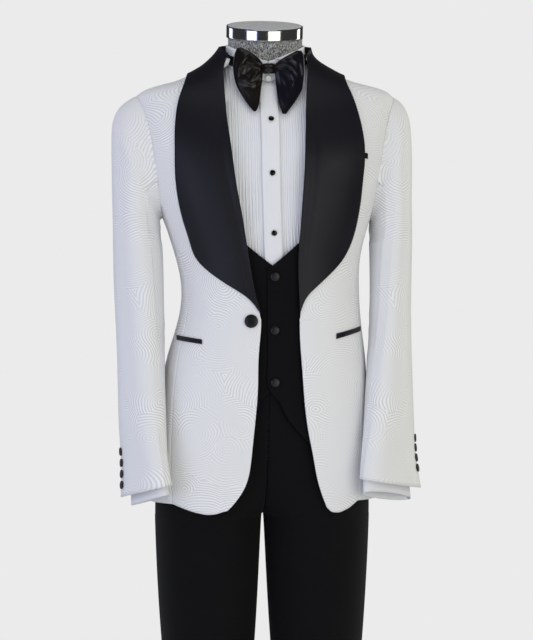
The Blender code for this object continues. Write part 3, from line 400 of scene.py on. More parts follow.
@dataclass(frozen=True)
class TurnedMetal(Finish):
    """Steel or chrome plate: mirror bright or with fine lines left by the brush.

    Attributes:
        lines: how much the lines change the roughness, up and down.
    """

    lines: float = 0.02

    def pattern(self, tree: bpy.types.NodeTree, shader: bpy.types.Node) -> None:
        """Adds fine level lines and smears to the roughness.

        Args:
            tree: the material's node tree.
            shader: its Principled shader.
        """
        place = add_node(tree, "TexCoord")
        squeezed = add_node(tree, "Mapping", {"Scale": (4.0, 4.0, 900.0)},
                            {"Vector": place.outputs["Object"]})
        brushed = add_node(tree, "TexNoise", {"Scale": 1.0, "Detail": 2.0}, {"Vector": squeezed})
        rough = add_node(tree, "MapRange",
                         {"To Min": self.roughness - self.lines, "To Max": self.roughness + self.lines},
                         {"Value": brushed})
        feed(shader, {"Roughness": rough})


# Silk and rayon jacquard: a matt white ground with glossier floats, which shade from cool to warm.
JACQUARD = FiguredCloth("white_jacquard", "#F2F2F3", 0.62, specular=0.35, sheen=0.15, sheen_roughness=0.4)
# Duchesse satin: long silk floats give the near-black a broad, soft gloss; its bluish tint is a painted
# tint of cool light.
SATIN = WovenCloth("black_duchesse_satin", "#111119", 0.48, specular=0.36, sheen=0.05, sheen_roughness=0.3,
                   light_colour="#1B1B29", rib=0.9 * MM, slant=math.radians(90), relief=0.04 * MM)
# Satin of the bow: the same weave, crumpled, so its gloss breaks up; its browner black is a painted tint of
# light.
BOW_SATIN = WovenCloth("black_bow_satin", "#0D0907", 0.27, specular=0.5, sheen=0.08, sheen_roughness=0.3,
                       light_colour="#2E2521", rib=0.8 * MM, slant=math.radians(80), relief=0.05 * MM)
# Its other half is a copy with its ribs across and a violet black, a painted tint of light on that half.
BOW_SATIN_VIOLET_PAINTED = WovenCloth("black_bow_satin_violet_painted", "#0A0810", 0.27, specular=0.45, sheen=0.08,
                             sheen_roughness=0.3, light_colour="#252036", rib=0.8 * MM,
                             slant=math.radians(10), relief=0.05 * MM)
# Barathea wool: a matt black that swallows light but for a faint nap.
WOOL = WovenCloth("black_barathea_wool", "#08080A", 0.85, specular=0.16, sheen=0.03, sheen_roughness=0.5,
                  light_colour="#15151A", rib=1.0 * MM, relief=0.15 * MM)
# Cotton poplin, plain and pressed in pin tucks: a crisp, slightly blue white with hardly any gloss.
POPLIN_LOOK = {"colour": "#E4E5E9", "roughness": 0.7, "specular": 0.3, "sheen": 0.1,
               "light_colour": "#F7F7F8", "rib": 0.8 * MM, "slant": math.radians(90), "relief": 0.05 * MM}
POPLIN = WovenCloth("white_cotton_poplin", **POPLIN_LOOK)
TUCKED_POPLIN = TuckedCloth("tucked_cotton_poplin", **POPLIN_LOOK)
# Dress form jersey: grey melange knit stretched over padding.
JERSEY = MelangeJersey("grey_melange_jersey", "#3C3C3E", 0.95, specular=0.2, light_colour="#B4B4B2")
# Cap board covered in plain grey cloth: smoother and paler than the neck.
CAP_CLOTH = MelangeJersey("grey_cap_cloth", "#A4A4A4", 0.9, specular=0.2, light_colour="#C6C6C6",
                          fleck=0.8 * MM)
# Chromed steel strip: almost a mirror, so it shows the lamps as bright bars.
CHROME = TurnedMetal("polished_chrome", "#F8F8F9", 0.1, metallic=1.0, lines=0.01)
# Brushed stainless steel of the stand: soft level streaks.
STEEL = TurnedMetal("brushed_steel", "#A7A9AD", 0.32, metallic=1.0, lines=0.08)
# Buttons covered in the lapel's satin.
COVERED = WovenCloth("satin_covered_button", "#0A0A0E", 0.36, specular=0.5, light_colour="#20202A",
                     rib=0.9 * MM, slant=math.radians(45), relief=0.08 * MM)
# Onyx: black glassy stone, polished.
ONYX = Finish("polished_onyx", "#040405", 0.06, specular=0.4)
# Silver-plated rim of a stud.
SILVER = TurnedMetal("silver_plate", "#F0F0EE", 0.32, metallic=1.0, lines=0.03)
# Trocas shell: a white button with a soft pearly gloss.
PEARL = Finish("trocas_shell", "#F3F2EE", 0.22, specular=0.6, sheen=0.1)
# Mercerised cotton thread for the seams, and waxed flax for the collar's button.
WHITE_THREAD = Finish("white_cotton_thread", "#DFE1E8", 0.6, specular=0.3)
FLAX_THREAD = Finish("flax_thread", "#8F8474", 0.6, specular=0.3)
# Studio floor: matt pale grey paper.
PAPER = Finish("pale_studio_paper", "#D9D9D9", 0.9, specular=0.2)


# ---------------------------------------------------------------- cloth forms


class Face(Enum):
    """Which way a cloth piece looks, for its flat coordinates."""

    FRONT = -1
    BACK = 1
    ROUND = 0


class Held(Enum):
    """How a piece of cloth is held."""

    HUNG = "hung"
    FOLDED = "folded"


def level_directions(away: np.ndarray) -> np.ndarray:
    """Turns level offsets to directions.

    Args:
        away: rows of (x, y).

    Returns:
        Rows of (x, y, 0), each 1 long.
    """
    return np.pad(away / np.maximum(np.linalg.norm(away, axis=1, keepdims=True), 1e-9), ((0, 0), (0, 1)))


@dataclass(frozen=True)
class BodyChart:
    """Flat coordinates on the torso: arc length round it from the front, and height, in metres.

    Attributes:
        half_width, half_depth: size of the oval that stands for every level section.
        centre_y: how far back its middle lies.
    """

    half_width: float = 175 * MM
    half_depth: float = 110 * MM
    centre_y: float = BODY_MIDDLE_Y

    def girth(self) -> float:
        """Returns the length all round."""
        return float(self.table()[1][-1] * 2)

    def table(self) -> tuple[np.ndarray, np.ndarray]:
        """Measures half of the way round.

        Returns:
            Angles from 0 at the front to pi at the back, and the arc length from the front to each.
        """
        angles = np.linspace(0, math.pi, 181)
        steps = np.hypot(self.half_width * np.cos(angles), self.half_depth * np.sin(angles))
        lengths = np.concatenate([[0.0], np.cumsum((steps[1:] + steps[:-1]) / 2 * np.diff(angles))])
        return angles, lengths

    def flat(self, points: np.ndarray, face: Face) -> np.ndarray:
        """Flattens points.

        Args:
            points: an array of positions.
            face: the side that all of them are on, or ROUND.

        Returns:
            An array of (round, up) for each.
        """
        across = np.clip(points[:, 0] / self.half_width, -1, 1)
        deep = (points[:, 1] - self.centre_y) / self.half_depth
        side = np.where(deep < 0, -1.0, 1.0) if face is Face.ROUND else float(face.value)
        deep = side * np.maximum(np.abs(deep), np.sqrt(1 - across ** 2))
        angle = np.arctan2(points[:, 0] / self.half_width, -deep)
        angles, lengths = self.table()
        return np.column_stack([np.sign(angle) * np.interp(np.abs(angle), angles, lengths), points[:, 2]])

    def outward(self, points: np.ndarray) -> np.ndarray:
        """Returns the level direction away from the middle at each point."""
        return level_directions(np.column_stack([points[:, 0] / self.half_width ** 2,
                                                 (points[:, 1] - self.centre_y) / self.half_depth ** 2]))


@dataclass(frozen=True)
class TubeChart:
    """Flat coordinates on a sleeve or a leg: arc length round it from the front, and height, in metres.

    Attributes:
        nodes: the solids that make the tube.
        radius: radius of the circle that stands for every level section.
    """

    nodes: tuple[str, ...]
    radius: float

    def centres(self) -> tuple[np.ndarray, np.ndarray, np.ndarray]:
        """Finds the tube's middle line from the solids' edges.

        Returns:
            Heights, and the middle's x and y at each.
        """
        edges = np.concatenate([edge_ends(node) for node in self.nodes])
        low, high = edges[:, :, 2].min(), edges[:, :, 2].max()
        margin = 0.02 * (high - low)
        heights = np.linspace(low + margin, high - margin, 16)
        rows = []
        for height in heights:
            start, end = edges[(edges[:, 0, 2] <= height) & (edges[:, 1, 2] > height)].transpose(1, 0, 2)
            share = (height - start[:, 2]) / (end[:, 2] - start[:, 2])
            ring = start + share[:, None] * (end - start)
            rows.append((ring.min(axis=0) + ring.max(axis=0)) / 2)
        return heights, np.array(rows)[:, 0], np.array(rows)[:, 1]

    def arms(self, points: np.ndarray) -> np.ndarray:
        """Measures how far points lie from the tube's middle.

        Args:
            points: an array of positions.

        Returns:
            The level offset (x, y) of each.
        """
        heights, x, y = self.centres()
        return np.column_stack([points[:, 0] - np.interp(points[:, 2], heights, x),
                                points[:, 1] - np.interp(points[:, 2], heights, y)])

    def girth(self) -> float:
        """Returns the length all round."""
        return math.tau * self.radius

    def flat(self, points: np.ndarray, face: Face) -> np.ndarray:
        """Flattens points to (round, up); the face isn't needed on a tube."""
        arms = self.arms(points)
        return np.column_stack([np.arctan2(arms[:, 0], -arms[:, 1]) * self.radius, points[:, 2]])

    def outward(self, points: np.ndarray) -> np.ndarray:
        """Returns the level direction away from the middle at each point."""
        return level_directions(self.arms(points))


@dataclass(frozen=True)
class FlatChart:
    """Flat coordinates straight on the front: across and up, in metres."""

    def girth(self) -> float:
        """Returns a length that nothing is wide enough to wrap round."""
        return 1.0

    def flat(self, points: np.ndarray, face: Face) -> np.ndarray:
        """Flattens points to (across, up)."""
        return points[:, [0, 2]]

    def outward(self, points: np.ndarray) -> np.ndarray:
        """Returns the way to the front for each point."""
        return np.tile((0.0, -1.0, 0.0), (len(points), 1))


Chart = BodyChart | TubeChart | FlatChart


@dataclass(frozen=True)
class Fold:
    """A soft ridge in the cloth, or a hollow where its height is negative. All in millimetres.

    Attributes:
        path: the line that it follows, in flat coordinates.
        width: distance from the line at which it has mostly died away.
        height: its height half way along.
        ends: the share of the path at which its height begins and ends, as it never quite gets to nothing.
        fullness: lower than 1 keeps it near its full height for longer.
    """

    path: tuple[tuple[float, float], ...]
    width: float
    height: float
    ends: float = 0.03
    fullness: float = 0.7

    def lift(self, flat: np.ndarray) -> np.ndarray:
        """Tells how far the cloth stands out.

        Args:
            flat: flat coordinates in metres.

        Returns:
            The lift at each, in metres.
        """
        stops = np.array(self.path) * MM
        runs = len(stops) - 1
        gap, along = np.full(len(flat), np.inf), np.zeros(len(flat))
        for number, (start, end) in enumerate(zip(stops, stops[1:])):
            run = end - start
            share = np.clip((flat - start) @ run / (run @ run), 0, 1)
            distance = np.linalg.norm(flat - start - share[:, None] * run, axis=1)
            closer = distance < gap
            gap, along = np.where(closer, distance, gap), np.where(closer, (number + share) / runs, along)
        taper = np.sin(math.pi * np.clip(along, self.ends, 1 - self.ends)) ** self.fullness
        return self.height * MM * taper * np.exp(-(gap / (self.width * MM)) ** 2)


@dataclass(frozen=True)
class Seam:
    """A seam to a finished piece, which draws the rim of a cut onto it. Lengths in millimetres.

    Attributes:
        piece: name of the finished piece.
        reach: the widest gap that the seam closes.
        above: height at which the seam begins.
        sure: gaps up to this share of the reach are closed all the way.
    """

    piece: str
    reach: float = 1.2
    above: float = 0.0
    sure: float = 0.7

    def close(self, points: np.ndarray) -> None:
        """Draws the rim of a cut onto the piece that it is sewn to.

        Args:
            points: the cut's points, which are moved.
        """
        surface = Surface(bpy.data.objects[self.piece])
        reach = self.reach * MM
        for number in np.flatnonzero(points[:, 2] > self.above * MM):
            point = Vector(points[number])
            hit, gap = surface.nearest(point, reach)
            if hit is not None:
                points[number] = point.lerp(hit, min(1.0, (1 - gap / reach) / (1 - self.sure)))


@dataclass(frozen=True)
class Cut:
    """One cloth piece: the solid that it dresses and the flat size that it was cut to, in metres.

    Attributes:
        node: the solid's name.
        width, length, area: the flat cut, the area in square metres.
        finish: what it is made of.
        slot: the record's slot of its material.
        rests_on: names of the pieces below it.
        held: how it is held.
        face: the side of the body that it is on.
        levels: how many times its faces are split.
        seams: what it is sewn to.
    """

    node: str
    width: float
    length: float
    area: float
    finish: Finish
    slot: str
    rests_on: tuple[str, ...]
    held: Held = Held.HUNG
    face: Face = Face.ROUND
    levels: int = 2
    seams: tuple[Seam, ...] = ()


def positions(mesh: bpy.types.Mesh) -> np.ndarray:
    """Reads a mesh's points.

    Args:
        mesh: the mesh.

    Returns:
        An array with a row for each point.
    """
    points = np.empty(len(mesh.vertices) * 3)
    mesh.vertices.foreach_get("co", points)
    return points.reshape(-1, 3)


def corners(node: str) -> np.ndarray:
    """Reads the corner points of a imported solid.

    Args:
        node: the solid's name.

    Returns:
        An array with a row for each point.
    """
    return positions(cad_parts[node].data)


def edge_ends(node: str) -> np.ndarray:
    """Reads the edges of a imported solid.

    Args:
        node: the solid's name.

    Returns:
        The lower and the upper end of each edge.
    """
    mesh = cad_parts[node].data
    pairs = np.empty(len(mesh.edges) * 2, int)
    mesh.edges.foreach_get("vertices", pairs)
    ends = corners(node)[pairs.reshape(-1, 2)]
    upward = ends[:, 0, 2] <= ends[:, 1, 2]
    return np.where(upward[:, None, None], ends, ends[:, ::-1])


def move_points(mesh: bpy.types.Mesh, points: np.ndarray) -> None:
    """Puts a mesh's points at new places.

    Args:
        mesh: the mesh.
        points: an array with a row for each point.
    """
    mesh.vertices.foreach_set("co", points.ravel())
    mesh.update()


def link(name: str, mesh: bpy.types.Mesh) -> bpy.types.Object:
    """Puts a mesh in the scene.

    Args:
        name: the object's name.
        mesh: the mesh.

    Returns:
        The object, at the origin.
    """
    thing = bpy.data.objects.new(name, mesh)
    bpy.context.scene.collection.objects.link(thing)
    return thing


def solid_cage(node: str, crisp: float) -> bpy.types.Mesh:
    """Copies a solid as welded quads, with its sharp edges creased.

    Args:
        node: the solid's name.
        crisp: edges that turn more than this angle, in radians, stay sharp.

    Returns:
        The cage, ready to subdivide.
    """
    bm = bmesh.new()
    bm.from_mesh(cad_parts[node].data)
    bmesh.ops.remove_doubles(bm, verts=bm.verts, dist=WELD)
    bmesh.ops.join_triangles(bm, faces=bm.faces[:], angle_face_threshold=math.radians(40),
                             angle_shape_threshold=math.radians(70), topology_influence=1.0)
    crease = bm.edges.layers.float.new("crease_edge")
    for edge in bm.edges:
        if edge.is_manifold and edge.calc_face_angle() > crisp:
            edge[crease] = 1.0
    mesh = bpy.data.meshes.new(node + "_cage")
    bm.to_mesh(mesh)
    bm.free()
    return mesh


def subdivided(cage: bpy.types.Mesh, levels: int) -> bpy.types.Mesh:
    """Subdivides a mesh smoothly.

    Args:
        cage: the mesh, which stays as it is.
        levels: how many times the faces are split.

    Returns:
        The finer copy, which begins with the cage's own points.
    """
    thing = link("cage", cage)
    smooth = thing.modifiers.new("round", "SUBSURF")
    smooth.levels = smooth.render_levels = levels
    graph = bpy.context.evaluated_depsgraph_get()
    mesh = bpy.data.meshes.new_from_object(thing.evaluated_get(graph))
    bpy.data.objects.remove(thing)
    return mesh


def shaded(mesh: bpy.types.Mesh, sharp: float) -> bpy.types.Mesh:
    """Shades a mesh smoothly.

    Args:
        mesh: the mesh.
        sharp: edges that turn more than this many degrees stay sharp.

    Returns:
        The same mesh.
    """
    mesh.polygons.foreach_set("use_smooth", np.ones(len(mesh.polygons), bool))
    mesh.set_sharp_from_angle(angle=math.radians(sharp))
    return mesh


def rounded(node: str, levels: int, crisp: float = 42.0, sharp: float = 50.0,
            rounds: int = 4) -> bpy.types.Mesh:
    """Makes a smooth surface that still passes through every corner of a solid.

    Args:
        node: the solid's name.
        levels: how many times the faces are split.
        crisp: edges of the solid that turn more than this many degrees aren't rounded.
        sharp: edges of the result that turn more than this many degrees are shaded sharp.
        rounds: how often the cage is corrected, so that its smooth copy meets the corners.

    Returns:
        The finished mesh.
    """
    cage = solid_cage(node, math.radians(crisp))
    wanted = positions(cage)
    for _ in range(rounds):
        reached = positions(subdivided(cage, levels))[:len(wanted)]
        move_points(cage, positions(cage) + wanted - reached)
    return shaded(subdivided(cage, levels), sharp)


def lay_flat(mesh: bpy.types.Mesh, chart: Chart, face: Face) -> None:
    """Gives a mesh the flat coordinates of its chart as a UV map, in metres.

    Args:
        mesh: the mesh.
        chart: the chart.
        face: the side that the mesh is on.
    """
    flat = chart.flat(positions(mesh), face)
    layer = mesh.uv_layers.get(UV_NAME) or mesh.uv_layers.new(name=UV_NAME)
    girth = chart.girth()
    for polygon in mesh.polygons:
        first = flat[polygon.vertices[0], 0]
        for loop, vertex in zip(polygon.loop_indices, polygon.vertices):
            across = flat[vertex, 0]
            across -= girth * round((across - first) / girth)
            layer.data[loop].uv = (across, flat[vertex, 1])


@dataclass
class Garment:
    """Cloth pieces that share a chart and a set of folds.

    Attributes:
        chart: gives the flat coordinates of its cloth.
        folds: its creases, placed in those coordinates.
        ripple: height of the fine unevenness of hanging cloth, in millimetres.
        ripple_grain: how many times the cloth ripples in a metre, along x, y and z.
    """

    chart: Chart
    folds: tuple[Fold, ...] = ()
    ripple: float = 0.0
    ripple_grain: tuple[float, float, float] = (14.0, 14.0, 6.0)

    def hang(self, points: np.ndarray, face: Face = Face.ROUND) -> np.ndarray:
        """Moves points out by the folds and the fine ripple of hanging cloth.

        Args:
            points: positions on the plain form.
            face: the side that they are on.

        Returns:
            The moved positions.
        """
        flat = self.chart.flat(points, face)
        lift = np.zeros(len(points))
        for fold in self.folds:
            lift += fold.lift(flat)
        if self.ripple:
            grain = points * self.ripple_grain
            lift += self.ripple * MM * np.array([noise.noise(Vector(place)) for place in grain])
        return points + self.chart.outward(points) * lift[:, None]

    def sew(self, cut: Cut) -> bpy.types.Object:
        """Args:
            cut: the piece.

        Returns:
            The finished object.
        """
        mesh = rounded(cut.node, cut.levels)
        lay_flat(mesh, self.chart, cut.face)
        points = self.hang(positions(mesh), cut.face)
        for seam in cut.seams:
            seam.close(points)
        move_points(mesh, points)
        piece = link(cut.node + "_cloth", mesh)
        finish_piece(piece, cut.finish, cut.slot, cut.node)
        list(cut.rests_on)
        return piece


def finish_piece(piece: bpy.types.Object, finish: Finish, slot: str, *nodes: str) -> None:
    """Gives a piece its material and its body, and hides the solids that it stands for.

    Args:
        piece: the object.
        finish: its finish.
        slot: not used.
        nodes: the solids that it replaces.
    """
    piece.data.materials.clear()
    piece.data.materials.append(finish.material())
    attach(piece, BODY)
    if nodes:
        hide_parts(*nodes)
    LOG.info("made %s, %d faces", piece.name, len(piece.data.polygons))


# ---------------------------------------------------------------- small turned and sewn things


@dataclass(frozen=True)
class Seat:
    """Where a button sits: the middle of its underside and the way it faces."""

    base: Vector
    facing: Vector

    def matrix(self) -> Matrix:
        """Returns the matrix that takes an upright button at the origin to its seat."""
        return Matrix.Translation(self.base) @ self.facing.to_track_quat("Z", "Y").to_matrix().to_4x4()


def seat_of(node: str, garment: Garment | None = None, face: Face = Face.ROUND) -> Seat:
    """Reads a round solid's seat from its points.

    Args:
        node: the solid's name.
        garment: the garment that it is sewn to, whose folds move it.
        face: the side of the garment that it is on.

    Returns:
        The seat, facing away from the body.
    """
    points = np.unique(np.round(corners(node), 6), axis=0)
    middle = points.mean(axis=0)
    # A button is flat, so its axis is the direction in which its points spread least.
    axis = np.linalg.svd(points - middle)[2][2]
    away = middle - np.array([0.0, BODY_MIDDLE_Y, middle[2]])
    axis = axis * np.sign(axis @ away)
    base = middle + axis * ((points - middle) @ axis).min()
    if garment is not None:
        base = garment.hang(base[None], face)[0]
    return Seat(Vector(base), Vector(axis))


@dataclass(frozen=True)
class Turned:
    """A small round part, spun from a profile of (radius, height) in millimetres."""

    profile: tuple[tuple[float, float], ...]
    segments: int = 32

    def spin(self, seat: Seat) -> bmesh.types.BMesh:
        """Spins the profile at a seat.

        Args:
            seat: where it goes.

        Returns:
            The part's mesh.
        """
        bm = bmesh.new()
        verts = [bm.verts.new((radius * MM, 0.0, height * MM)) for radius, height in self.profile]
        edges = [bm.edges.new(pair) for pair in zip(verts, verts[1:])]
        bmesh.ops.spin(bm, geom=verts + edges, cent=(0, 0, 0), axis=(0, 0, 1), angle=math.tau,
                       steps=self.segments, use_merge=True)
        bmesh.ops.remove_doubles(bm, verts=bm.verts[:], dist=WELD)
        bmesh.ops.transform(bm, matrix=seat.matrix(), verts=bm.verts[:])
        bmesh.ops.recalc_face_normals(bm, faces=bm.faces[:])
        return bm


def mesh_from(bm: bmesh.types.BMesh, name: str, sharp: float = 40.0) -> bpy.types.Object:
    """Ends a bmesh as a smooth-shaded object.

    Args:
        bm: the mesh, which is freed.
        name: the object's name.
        sharp: edges that turn more than this many degrees stay sharp.

    Returns:
        The object.
    """
    mesh = bpy.data.meshes.new(name)
    bm.to_mesh(mesh)
    bm.free()
    return link(name, shaded(mesh, sharp))


def turn(name: str, shape: Turned, seat: Seat, finish: Finish, slot: str, *nodes: str) -> None:
    """Makes a turned piece at a seat.

    Args:
        name: the piece's name.
        shape: its profile.
        seat: where it goes.
        finish: its finish.
        slot: the record's slot of its material.
        nodes: the solids that it replaces.
    """
    piece = mesh_from(shape.spin(seat), name)
    lay_flat(piece.data, FlatChart(), Face.FRONT)
    finish_piece(piece, finish, slot, *nodes)


# Covered buttons: a domed top over a narrower foot.
JACKET_BUTTON = Turned(((0, 0), (8.5, 0), (10.2, 0.8), (10.85, 2.0), (10.5, 3.1), (9.3, 3.9), (6.5, 4.4),
                        (3.0, 4.6), (0, 4.65)), 48)
WAISTCOAT_BUTTON = Turned(((0, 0), (5.6, 0), (6.9, 0.7), (7.25, 1.6), (7.0, 2.4), (6.1, 2.9), (4.2, 3.25),
                           (2.0, 3.4), (0, 3.42)), 40)
CUFF_BUTTON = Turned(((0, 0), (5.2, 0), (6.5, 0.6), (6.85, 1.6), (6.6, 2.4), (5.6, 2.9), (3.8, 3.2),
                      (1.8, 3.3), (0, 3.32)), 36)
# Collar button: a rounded edge round a hollow for the thread.
COLLAR_BUTTON = Turned(((0, 0.2), (4.0, 0.2), (4.8, 0.9), (4.85, 2.0), (4.4, 2.8), (3.5, 2.9), (2.8, 2.0),
                        (0, 1.7)))
# Studs: a cup with a raised edge, and the low dome of the stone in it.
STUD_RIM = Turned(((0, 0.1), (3.8, 0.1), (5.1, 0.5), (5.2, 1.1), (5.0, 1.6), (4.5, 1.65), (4.3, 1.3),
                   (0, 1.3)))
STUD_STONE = Turned(((0, 1.3), (4.35, 1.3), (4.4, 1.9), (3.6, 2.5), (1.9, 2.85), (0, 2.95)))


class Surface:
    """The faces of a finished piece, for putting small things on it."""

    def __init__(self, piece: bpy.types.Object) -> None:
        """Keeps a search tree of the piece's faces."""
        graph = bpy.context.evaluated_depsgraph_get()
        self.tree = BVHTree.FromObject(piece, graph)

    def from_front(self, x: float, height: float) -> tuple[Vector, Vector] | None:
        """Returns the point and normal seen straight from the front at x and a height, in millimetres."""
        hit, normal, _, _ = self.tree.ray_cast(Vector((x * MM, -1.0, height * MM)), Vector((0, 1, 0)))
        return None if hit is None else (hit, normal)

    def nearest(self, point: Vector, reach: float) -> tuple[Vector | None, float | None]:
        """Returns the nearest point of the piece within reach and its distance, or None twice."""
        hit, _, _, distance = self.tree.find_nearest(point, reach)
        return hit, distance


# Half the length of a stitch over the pitch, and how far the cloth flattens the thread.
STITCH_SHARE = 0.38
THREAD_FLATNESS = 0.7


def stitch_row(name: str, stops: Sequence[tuple[Vector, Vector] | None], finish: Finish, slot: str,
               pitch: float = 3.2, thread: float = 0.32) -> None:
    """Sews a row of running stitches.

    Args:
        name: the piece's name.
        stops: points along the row with the cloth's normal at each, or None where there is no cloth.
        finish: the thread.
        slot: the record's slot of the cloth below.
        pitch: distance from one stitch to the next, in millimetres.
        thread: half thickness of the thread, in millimetres.
    """
    points, normals = (np.array(column) for column in zip(*(stop for stop in stops if stop)))
    lengths = np.concatenate([[0.0], np.cumsum(np.linalg.norm(np.diff(points, axis=0), axis=1))])
    bm = bmesh.new()
    step = 0.5 * MM
    for at in np.arange(pitch / 2, lengths[-1] / MM - pitch / 2, pitch) * MM:
        place, ahead, normal = (Vector([np.interp(where, lengths, values[:, axis]) for axis in range(3)])
                                for where, values in ((at, points), (at + step, points), (at, normals)))
        along = (ahead - place).normalized()
        across = normal.cross(along).normalized()
        turn_to = Matrix((along, across, along.cross(across))).transposed().to_4x4()
        size = Matrix.Diagonal((pitch * STITCH_SHARE * MM, thread * MM, thread * THREAD_FLATNESS * MM, 1.0))
        bmesh.ops.create_icosphere(bm, subdivisions=1, radius=1.0,
                                   matrix=Matrix.Translation(place) @ turn_to @ size)
    finish_piece(mesh_from(bm, name, 80.0), finish, slot)


# ---------------------------------------------------------------- the dress form


@dataclass
class DressForm:
    """The padded torso, its chrome neck band and cap, and the steel stand."""

    def build(self) -> None:
        """Makes every piece of the form."""
        for node, name, finish, slot, levels in (
                ("form_torso", "form_padding", JERSEY, "form_cloth", 2),
                ("form_neck_band", "form_band", CHROME, "chrome", 3),
                ("form_neck_cap", "form_cap", CAP_CLOTH, "form_cloth", 3),
                ("stand_base", "base_plate", STEEL, "stand_steel", 2),
                ("stand_pole_right", "pole_right", STEEL, "stand_steel", 2),
                ("stand_pole_left", "pole_left", STEEL, "stand_steel", 2)):
            piece = link(name, rounded(node, levels))
            finish_piece(piece, finish, slot, node)


# ---------------------------------------------------------------- the shirt


@dataclass
class Shirt:
    """Dress shirt: tucked fronts, placket, wing collar, sleeves and cuffs, with studs.

    Attributes:
        garment: its body and collar.
        tucks: the tucks of its fronts.
        placket_middle: x of the placket's middle where it is stitched, in millimetres.
        placket_half: half the placket's width, in millimetres.
        stitch_inset: how far inside the placket's edges the stitching runs, in millimetres.
        stitched: heights through which the stitching runs, in millimetres.
        thread_bar: half the size of one bar of the crossed thread in the collar's button, in millimetres.
        thread_height: how high the bars lie above the seat of the button, in millimetres.
    """

    garment: Garment
    tucks: PinTucks = PinTucks()
    placket_middle: float = 6.0
    placket_half: float = 15.0
    stitch_inset: float = 3.0
    stitched: range = range(1170, 1502, 6)
    thread_bar: tuple[float, float, float] = (1.44, 0.3, 0.42)
    thread_height: float = 1.6

    def cuts(self) -> tuple[Cut, ...]:
        """Lists the pieces of the shirt's body and collar.

        Returns:
            The cuts, in the order in which they are sewn.
        """
        on_form = ("form_padding",)
        pieces = [
            Cut("shirt_back", 0.52, 0.60, 0.25, POPLIN, "shirt_cloth", on_form, face=Face.BACK),
            Cut("shirt_collar", 0.38, 0.045, 0.0145, POPLIN, "shirt_cloth", on_form),
            Cut("shirt_placket", 0.035, 0.36, 0.012, POPLIN, "shirt_cloth", on_form,
                face=Face.FRONT, seams=(Seam("shirt_collar_cloth"),)),
        ]
        for side in SIDES:
            pieces += [
                Cut(f"shirt_front_{side}", 0.33, 0.57, 0.135, TUCKED_POPLIN, "shirt_cloth", on_form,
                    face=Face.FRONT, levels=3),
                Cut(f"shirt_collar_wing_{side}", 0.045, 0.028, 0.00065, POPLIN, "shirt_cloth",
                    ("shirt_collar_cloth",), Held.FOLDED, Face.FRONT),
            ]
        return tuple(pieces)

    def build(self) -> None:
        """Makes the shirt's body, collar, sleeves, studs, button and stitching."""
        made = {cut.node: self.garment.sew(cut) for cut in self.cuts()}
        for side in SIDES:
            self.press_tucks(made[f"shirt_front_{side}"])
        self.sleeves()
        self.studs()
        self.button_collar()
        placket = Surface(made["shirt_placket"])
        for side, way in zip(SIDES, (-1, 1)):
            x = self.placket_middle + way * (self.placket_half - self.stitch_inset)
            stops = [placket.from_front(x, height) for height in self.stitched]
            stitch_row(f"placket_stitching_{side}", stops, WHITE_THREAD, "shirt_cloth")

    def press_tucks(self, front: bpy.types.Object) -> None:
        """Presses the pin tucks of a front, which run beside the placket.

        Args:
            front: the front's piece.
        """
        points = positions(front.data)
        placket = corners("shirt_placket")
        order = np.argsort(placket[:, 2])
        heights, sides = placket[order, 2], placket[order, 0]
        levels = np.unique(np.round(heights, 4))
        level_gap = 2 * MM
        middles = [sides[np.abs(heights - level) < level_gap].mean() for level in levels]
        away = np.abs(points[:, 0] - np.interp(points[:, 2], levels, middles))
        points[:, 1] -= self.tucks.change(away / MM) * MM
        move_points(front.data, points)
        front.data.attributes.new(AWAY_NAME, "FLOAT", "POINT").data.foreach_set("value", away / MM)

    def sleeves(self) -> None:
        """Makes both sleeves and their cuffs."""
        for side in SIDES:
            sleeve, cuff = f"shirt_sleeve_{side}", f"shirt_cuff_{side}"
            tube = Garment(TubeChart((sleeve, cuff), 45 * MM))
            tube.sew(Cut(sleeve, 0.36, 0.58, 0.150, POPLIN, "shirt_cloth", ("form_padding",)))
            tube.sew(Cut(cuff, 0.27, 0.075, 0.0185, POPLIN, "shirt_cloth", (sleeve + "_cloth",)))

    def studs(self) -> None:
        """Makes three onyx studs in silver rims."""
        for number in (1, 2, 3):
            node = f"shirt_stud_{number}"
            seat = seat_of(node, self.garment, Face.FRONT)
            turn(f"stud_stone_{number}", STUD_STONE, seat, ONYX, "black_button", node)
            turn(f"stud_rim_{number}", STUD_RIM, seat, SILVER, "black_button")

    def button_collar(self) -> None:
        """Makes the shell button of the collar with the crossed thread in its hollow."""
        seat = seat_of("shirt_collar_button", self.garment, Face.FRONT)
        turn("collar_button_shell", COLLAR_BUTTON, seat, PEARL, "pearl", "shirt_collar_button")
        bm = bmesh.new()
        raised = seat.matrix() @ Matrix.Translation((0, 0, self.thread_height * MM))
        size = Matrix.Diagonal([half * MM for half in self.thread_bar] + [1.0])
        for angle in (45, 135):
            turned = Matrix.Rotation(math.radians(angle), 4, "Z")
            bmesh.ops.create_icosphere(bm, subdivisions=2, radius=1.0, matrix=raised @ turned @ size)
        finish_piece(mesh_from(bm, "collar_button_thread"), FLAX_THREAD, "pearl")


# ---------------------------------------------------------------- the waistcoat and the trousers


@dataclass
class Waistcoat:
    """Low waistcoat with three covered buttons."""

    garment: Garment

    def build(self) -> None:
        """Makes the fronts, the back and the buttons."""
        on_shirt = ("shirt_front_right_cloth", "shirt_front_left_cloth")
        for side in SIDES:
            self.garment.sew(Cut(f"waistcoat_front_{side}", 0.26, 0.60, 0.090, WOOL, "black_cloth",
                                 on_shirt, face=Face.FRONT, levels=3))
        self.garment.sew(Cut("waistcoat_back", 0.52, 0.57, 0.245, SATIN, "satin", ("shirt_back_cloth",),
                             face=Face.BACK))
        for number in (1, 2, 3):
            node = f"waistcoat_button_{number}"
            turn(f"waistcoat_button_cover_{number}", WAISTCOAT_BUTTON,
                 seat_of(node, self.garment, Face.FRONT), COVERED, "black_button", node)


